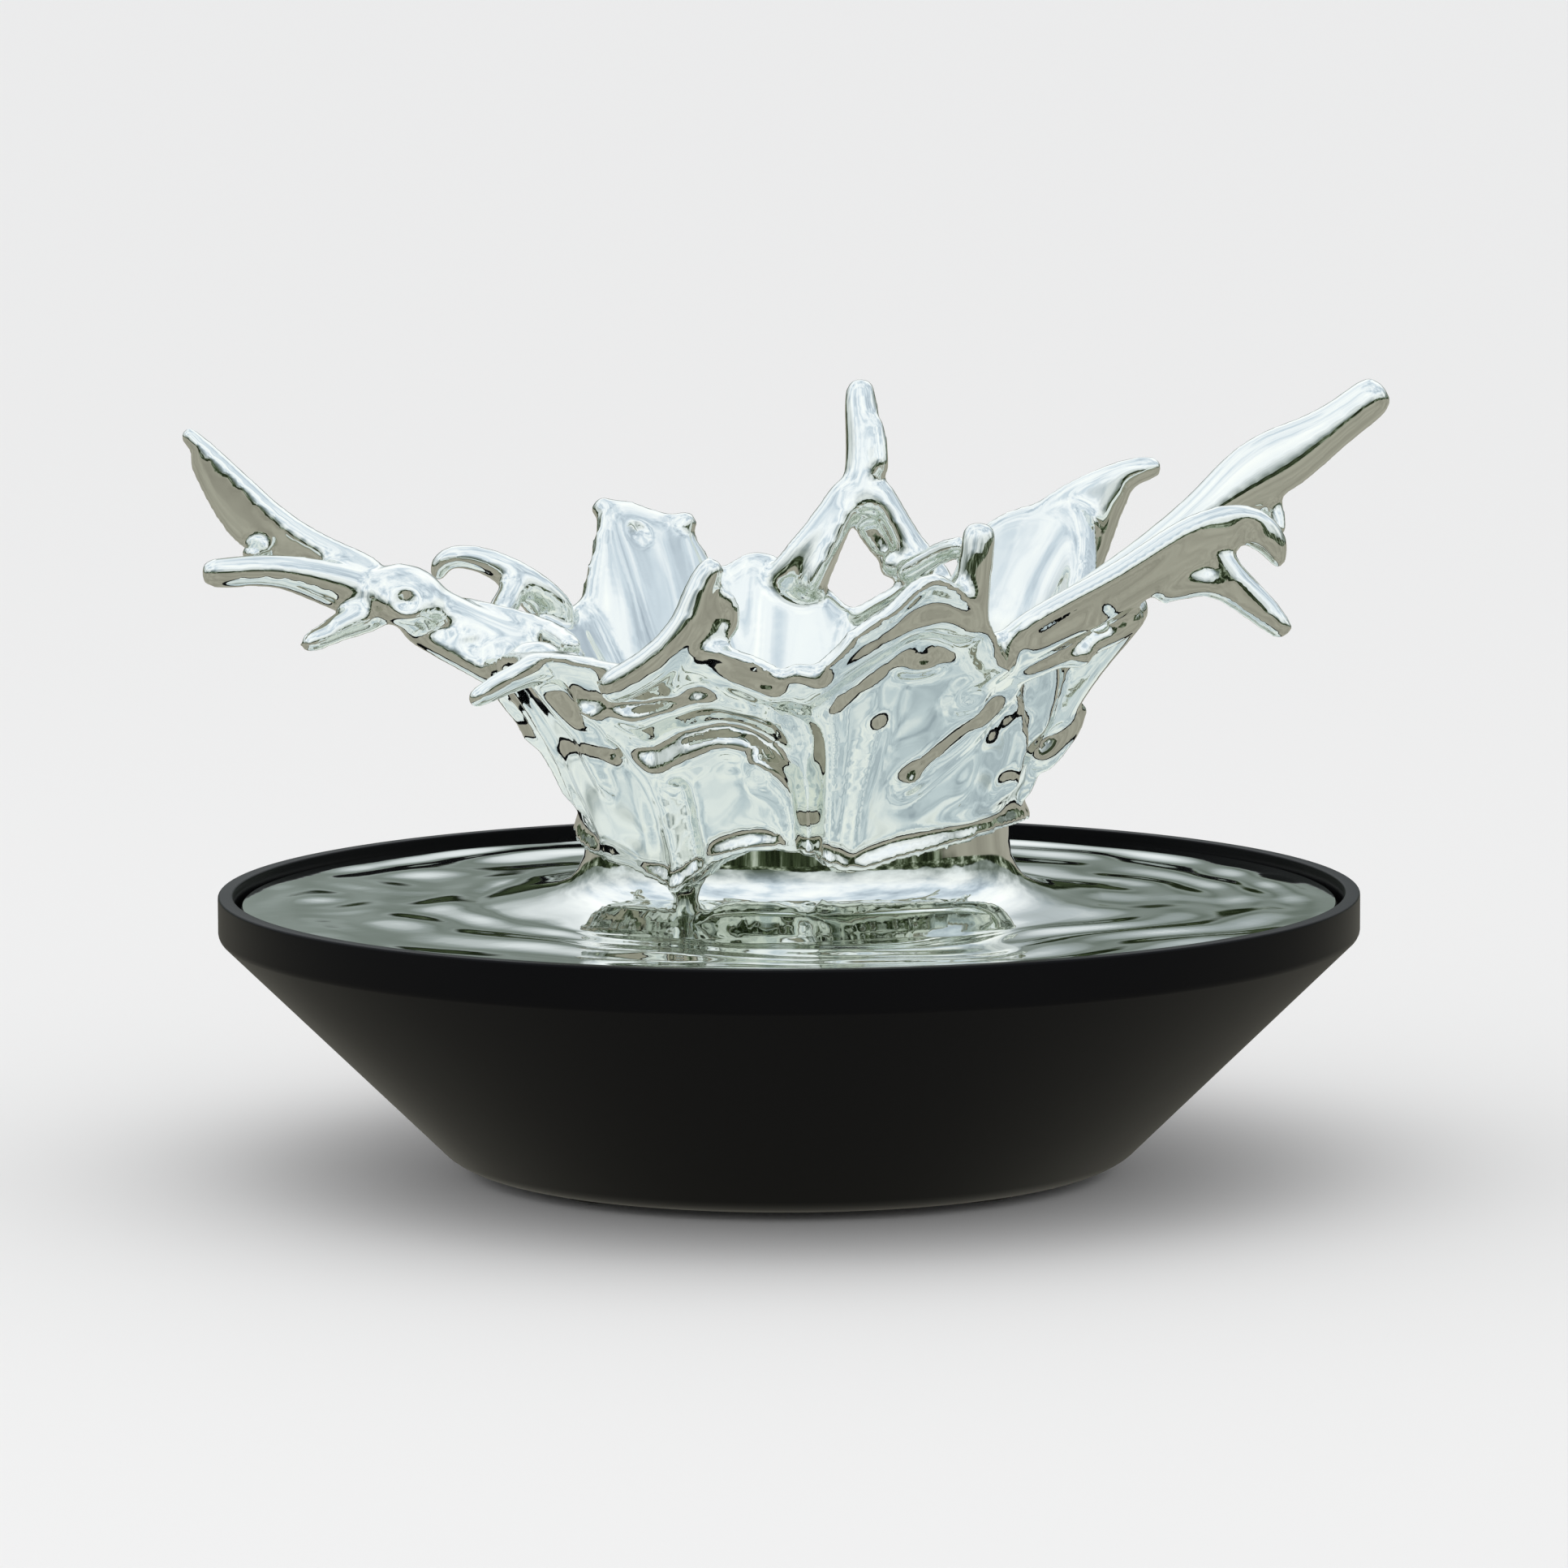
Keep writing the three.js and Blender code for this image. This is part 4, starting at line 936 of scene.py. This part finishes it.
# %% The right arms
right_arms = [
    limb("right_long_arm", [
        [96, 24, 92, 30, 18], [116, 27, 110, 22, 17], [135, 31, 125, 17, 17], [151, 35, 138, 15, 17],
        [167, 39, 150, 17, 16], [180, 44, 160, 24, 15], [194, 48, 168, 27, 14], [206, 52, 174, 22, 15],
        [217, 55, 181, 17, 15], [227, 58, 188, 16, 16], [235, 60, 194, 16, 16],
    ], flat=(0.2, -1, 0.3)),
    limb("right_drop", [
        [188, 48, 158, 12, 9], [192, 47, 152, 9, 8], [195, 44, 146, 6, 6], [196, 40, 141, 4, 4],
    ]),
    limb("right_front_leaf", [
        [74, -92, 103, 12, 12], [86, -90, 108, 14, 12], [100, -85, 115, 15, 12], [116, -78, 122, 15, 11],
        [132, -70, 131, 17, 11], [147, -64, 140, 20, 10], [161, -59, 147, 20, 10], [173, -56, 150, 15, 9],
    ], flat=(0.3, -1, -0.35)),
    limb("right_front_rim", [
        [82, -96, 111, 8, 10], [91, -95, 118, 8, 10], [106, -88, 126, 8, 10], [122, -80, 133, 8, 10],
        [138, -71, 142, 8, 10],
        [149, -65, 149, 8, 10], [160, -60, 154, 8, 10], [174, -55, 157, 8, 9], [184, -52, 153, 8, 9],
        [189, -50, 146, 8, 8],
        [190, -50, 140, 6, 6],
    ]),
    limb("right_hook_blade", [
        [178, -54, 150, 12, 8], [184, -53, 147, 10, 8], [188, -52, 142, 8, 7], [190, -51, 137, 5, 5],
    ]),
    limb("right_fork_blade", [
        [164, -58, 143, 10, 8], [168, -59, 138, 10, 8], [173, -60, 132, 9, 8], [179, -61, 126, 9, 8],
        [186, -62, 119, 8, 8], [192, -63, 112, 6, 6],
    ], flat=(0.4, -1, 0)),
    limb("right_fork_web", [
        [140, -64, 127, 12, 9], [148, -62, 130, 12, 8], [158, -61, 131, 11, 7], [166, -60, 129, 8, 6],
        [174, -61, 123, 6, 6],
        [183, -62, 116, 5, 6], [190, -63, 111, 5, 5],
    ]),
    limb("right_flank", [
        [138, -56, 125, 12, 14], [127, -52, 114, 16, 16], [116, -46, 102, 18, 16], [106, -36, 88, 20, 16],
        [97, -24, 70, 20, 14],
    ]),
    limb("right_flank_ridge", [
        [138, -63, 120, 8, 9], [127, -66, 112, 8, 9], [114, -70, 107, 8, 9], [101, -76, 103, 8, 9],
        [88, -84, 98, 8, 9],
    ]),
    limb("right_side_tongue", [
        [96, -30, 54, 7, 8], [101, -30, 60, 9, 9], [107, -29, 68, 10, 9], [112, -27, 75, 8, 9],
        [114, -26, 79, 5, 6],
    ]),
]
print(len(left_arms) + len(back_limbs) + len(right_arms), "limbs")

# %% [markdown]
# ### The front
#
# Two blades stand up from the front lip like curled leaves, and between them the lip dips to a narrow V.

# %% The front blades
front_limbs = [
    limb("front_left_blade", [
        [-72, -112, 94, 12, 12], [-61, -115, 99, 14, 12], [-51, -118, 105, 15, 12],
        [-42, -120, 114, 14, 12],
        [-37, -120, 123, 12, 11], [-35, -119, 131, 10, 10], [-32, -118, 138, 9, 10],
        [-28, -117, 143, 9, 10],
    ], flat=(0.35, -1, -0.35)),
    limb("front_left_blade_foot", [
        [-32, -117, 136, 8, 9], [-31, -117, 127, 8, 9], [-31, -117, 117, 9, 9], [-29, -118, 108, 10, 9],
    ]),
    limb("front_right_blade", [
        [69, -113, 114, 13, 10], [69, -115, 123, 13, 9], [70, -116, 132, 13, 9], [71, -116, 142, 12, 9],
        [72, -115, 150, 12, 9], [73, -113, 156, 12, 10],
    ], flat=(0.15, -1, -0.12)),
]

# %% [markdown]
# Rings and lumps break up the joints between the limbs: a round eye behind the left blade, the head, and
# the small knobs at the roots of the arms.


# %% Rings and lumps
def torus(name, place, radius, section, stretch, lean):
    """A ring that faces the front, stretched upwards and leaned to the side."""
    bpy.ops.object.select_all(action="DESELECT")
    bpy.ops.mesh.primitive_torus_add(
        location=place, rotation=(math.pi / 2, math.radians(lean), 0),
        major_radius=radius * MM, minor_radius=section * MM, major_segments=32, minor_segments=10,
    )
    piece = named(bpy.context.object, name)
    piece.scale = (1, stretch, 1)
    return placed(piece)


def lump(name, place, size, lean=(0, 0, 0)):
    bpy.ops.object.select_all(action="DESELECT")
    bpy.ops.mesh.primitive_uv_sphere_add(segments=24, ring_count=12, radius=0.5 * MM, location=place)
    piece = named(bpy.context.object, name)
    piece.scale = size
    piece.rotation_euler = [math.radians(angle) for angle in lean]
    return placed(piece)


lumps = [
    torus("eye_ring", above(-25, -117, 124), 5, 2.6, 1.5, 0),
    lump("eye_back", above(-25, -115, 124), (10, 6, 16)),
    lump("left_head", above(-149, -8, 121), (34, 31, 20), lean=(35, 22, 0)),
    lump("stem_lump_one", above(-133, -7, 113), (14, 13, 11)),
    lump("stem_lump_two", above(-128, -10, 105), (13, 13, 10)),
    lump("stem_lump_three", above(-113, -14, 98), (15, 13, 11)),
    lump("left_shoulder_lump", above(-98, -40, 100), (22, 18, 14)),
    lump("left_front_lump", above(-88, -60, 99), (18, 16, 13)),
    lump("upper_blob", above(-210, 8, 137), (10, 17, 9)),
    lump("v_knob", above(4, -124, 102), (12, 11, 10)),
    lump("second_v_knob_one", above(80, -98, 111), (12, 11, 10)),
    lump("second_v_knob_two", above(89, -94, 111), (11, 11, 10)),
    lump("right_pocket_lump", above(110, -74, 104), (15, 12, 11)),
]
print(len(front_limbs), "front blades,", len(lumps), "rings and lumps")

# %% [markdown]
# ### One skin
#
# All the solids are joined, and a voxel remesh wraps them in one even skin. Smoothing rounds every seam
# into a fillet. Small hollows are then pressed in by moving the points round a place, as a thumb presses
# wax.

# %% Joined and remeshed
VOXEL = 1.85 * MM

splash = joined([crown, *left_arms, *back_limbs, *right_arms, *front_limbs, *lumps], "splash")
applied(splash, "REMESH", mode="VOXEL", voxel_size=VOXEL)
applied(splash, "SMOOTH", factor=0.5, iterations=8)
print("splash skin:", len(splash.data.polygons), "faces")

# %% [markdown]
# A hollow is pressed at a place, over a radius, to a depth, in millimetres. The last is the way that it is
# pressed.


# %% Hollows pressed into the skin
def pressed(piece, place, radius, depth, direction):
    """Moves the points near a place along a direction, most in the middle."""
    way = Vector(direction).normalized() * depth * MM
    for vertex in piece.data.vertices:
        vertex.co += way * eased(1 - (vertex.co - place).length / (radius * MM))


pressed(splash, above(-149, -20, 121), 6, 4, (0, 1, -0.5))
pressed(splash, above(-62, 114, 133), 8, 5, (0, 1, 0))
pressed(splash, above(8, 120, 116), 8, 5, (0, 1, 0))
pressed(splash, above(-182, -22, 111), 6, 3, (0.3, 1, 0))
pressed(splash, above(122, -84, 118), 9, 5, (0, 1, 0))
pressed(splash, above(112, -86, 106), 7, 5, (0, 1, 0))
pressed(splash, on_wall(264, 61), 5, 3, (0, 1, 0))
applied(splash, "SMOOTH", factor=0.5, iterations=2)
triangles = 2 * len(splash.data.polygons)
alone(splash)
bpy.ops.object.shade_smooth()
splash.data.materials.clear()
splash.data.materials.append(polished_steel)
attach(splash, "splash_top")
SPLASH_NODES = [
    "crown_wall", "left_stem", "left_upper_arm", "left_lower_arm", "left_fork", "left_hook",
    "left_front_tongue",
    "back_left_petal", "back_centre_petal", "back_spire", "spire_left_leg", "spire_right_leg",
    "back_right_petal",
    "right_long_arm", "right_drop", "right_front_arm", "right_fork", "right_side_tongue",
    "front_left_blade",
    "front_right_blade",
]
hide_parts(*SPLASH_NODES)
splash_low = Vector([min(vertex.co[axis] for vertex in splash.data.vertices) for axis in range(3)])
splash_high = Vector([max(vertex.co[axis] for vertex in splash.data.vertices) for axis in range(3)])
print("splash triangles:", triangles)
print("splash box in mm:", [round(c / MM) for c in splash_low], [round(c / MM) for c in splash_high])

# %% [markdown]
# ## Floor and light
#
# The fountain stands on a plain pale floor under soft light. Polished metal shows its surroundings and
# nothing else, so the dome round the set matters most: bright and bluish above with soft clouds, a thin
# dark band of greenery at eye level, and warm grey ground below. The floor is kept out of mirror
# reflections, so that the undersides show that ground.

# %% The floor
bpy.ops.object.select_all(action="DESELECT")
bpy.ops.mesh.primitive_circle_add(vertices=96, radius=60, fill_type="NGON", location=(0, 0, 0))
floor = named(bpy.context.object, "floor")
pale = bpy.data.materials.new("pale_floor")
pale.use_nodes = True
pale.node_tree.nodes["Principled BSDF"].inputs["Base Color"].default_value = (0.86, 0.86, 0.86, 1)
pale.node_tree.nodes["Principled BSDF"].inputs["Roughness"].default_value = 0.9
pale.node_tree.nodes["Principled BSDF"].inputs["Specular IOR Level"].default_value = 0.1
floor.data.materials.append(pale)
floor.visible_glossy = False

# %% [markdown]
# The dome is a tree of nodes, so a few short helpers make the nodes and join them.

# %% The dome
world = bpy.data.worlds.new("studio_dome")
bpy.context.scene.world = world
world.use_nodes = True
tree = world.node_tree
tree.nodes.clear()


def made(kind, **values):
    node = tree.nodes.new(kind)
    for key, value in values.items():
        node.inputs[key].default_value = value
    return node


def joins(source, output, target, socket):
    tree.links.new(source.outputs[output], target.inputs[socket])


def ramp(stops):
    node = tree.nodes.new("ShaderNodeValToRGB")
    elements = node.color_ramp.elements
    while len(elements) < len(stops):
        elements.new(0.5)
    for element, (spot, color) in zip(elements, stops):
        element.position = spot
        element.color = [*color, 1]
    return node


def color_of(node):
    """The output that carries a ramp's or a mix's color."""
    return "Color" if "Color" in node.outputs else 2


def mixed(share, share_output, first, second):
    node = tree.nodes.new("ShaderNodeMix")
    node.data_type = "RGBA"
    joins(share, share_output, node, "Factor")
    joins(first, color_of(first), node, 6)
    joins(second, color_of(second), node, 7)
    return node


def step_up(source, output, start, end):
    """0 below start, 1 above end."""
    node = made("ShaderNodeMapRange")
    node.inputs["From Min"].default_value = start
    node.inputs["From Max"].default_value = end
    joins(source, output, node, "Value")
    return node


direction = made("ShaderNodeTexCoord")
split = made("ShaderNodeSeparateXYZ")
clouds = made("ShaderNodeTexNoise", Scale=1.9, Detail=4, Roughness=0.6)
leaves = made("ShaderNodeTexNoise", Scale=9, Detail=4, Roughness=0.65)
tree_tops = made("ShaderNodeTexNoise", Scale=3.2, Detail=3, Roughness=0.5)
for node in (split, clouds, leaves, tree_tops):
    joins(direction, "Generated", node, "Vector")

# %% [markdown]
# The ground, the greenery, the haze and the sky are four ramps. The haze lies low in the sky. The greenery
# ends lower in front of the camera, behind the fountain, than at the camera's back, and its top wanders.

# %% Ground, greenery and sky
sky = ramp([
    (0.30, (0.45, 0.53, 0.64)), (0.42, (0.75, 0.85, 0.98)),
    (0.52, (1.05, 1.10, 1.19)), (0.66, (1.22, 1.24, 1.27)),
])
joins(clouds, "Fac", sky, "Fac")
haze = ramp([
    (0.36, (0.11, 0.14, 0.115)), (0.48, (0.29, 0.335, 0.32)),
    (0.56, (0.54, 0.595, 0.60)), (0.68, (0.86, 0.92, 0.97)),
])
joins(clouds, "Fac", haze, "Fac")
above_haze = step_up(split, "Z", 0.16, 0.5)
high_half = mixed(above_haze, "Result", haze, sky)
greenery = ramp([
    (0.40, (0.012, 0.018, 0.008)), (0.52, (0.05, 0.07, 0.035)),
    (0.60, (0.25, 0.30, 0.22)), (0.68, (0.52, 0.58, 0.50)),
])
joins(leaves, "Fac", greenery, "Fac")
ground = ramp([(0.3, (0.30, 0.29, 0.245)), (0.7, (0.46, 0.45, 0.385))])
joins(tree_tops, "Fac", ground, "Fac")

FAR_TOP = 0.07
NEAR_TOP = 0.13
side_height = made("ShaderNodeMapRange")
side_height.inputs["From Min"].default_value = 0.4
side_height.inputs["From Max"].default_value = -0.6
side_height.inputs["To Min"].default_value = FAR_TOP
side_height.inputs["To Max"].default_value = NEAR_TOP
joins(split, "Y", side_height, "Value")
wander = tree.nodes.new("ShaderNodeMath")
wander.operation = "MULTIPLY_ADD"
wander.inputs[1].default_value = -0.22
joins(tree_tops, "Fac", wander, 0)
joins(split, "Z", wander, 2)
over_trees = tree.nodes.new("ShaderNodeMath")
over_trees.operation = "SUBTRACT"
joins(wander, 0, over_trees, 0)
joins(side_height, "Result", over_trees, 1)
above_trees = step_up(over_trees, 0, -0.105, -0.085)
above_ground = step_up(split, "Z", -0.012, 0.004)
low_half = mixed(above_ground, "Result", ground, greenery)
surroundings_color = mixed(above_trees, "Result", low_half, high_half)

# %% [markdown]
# Only mirror reflections see these surroundings. The camera and the soft light see a plain pale dome, so
# the floor stays neutral.

# %% What each kind of ray sees
surroundings = made("ShaderNodeBackground", Strength=1.0)
joins(surroundings_color, 2, surroundings, "Color")
plain_dome = made("ShaderNodeBackground", Color=(0.97, 0.97, 0.97, 1), Strength=1.0)
rays = made("ShaderNodeLightPath")
choose = tree.nodes.new("ShaderNodeMixShader")
world_out = made("ShaderNodeOutputWorld")
joins(rays, "Is Glossy Ray", choose, "Fac")
joins(plain_dome, "Background", choose, 1)
joins(surroundings, "Background", choose, 2)
joins(choose, "Shader", world_out, "Surface")

# %% [markdown]
# One broad lamp overhead gives the floor its soft shadow. It is kept out of mirror reflections.

# %% The soft lamp overhead
bpy.ops.object.select_all(action="DESELECT")
bpy.ops.object.light_add(
    type="AREA", location=(-0.6, -0.9, 2.2), rotation=(math.radians(22), math.radians(-14), 0),
)
lamp = bpy.context.object
lamp.data.size = 2.4
lamp.data.energy = 5
lamp.visible_glossy = False
bpy.context.scene.view_settings.view_transform = "Standard"
bpy.context.scene.cycles.glossy_bounces = 12
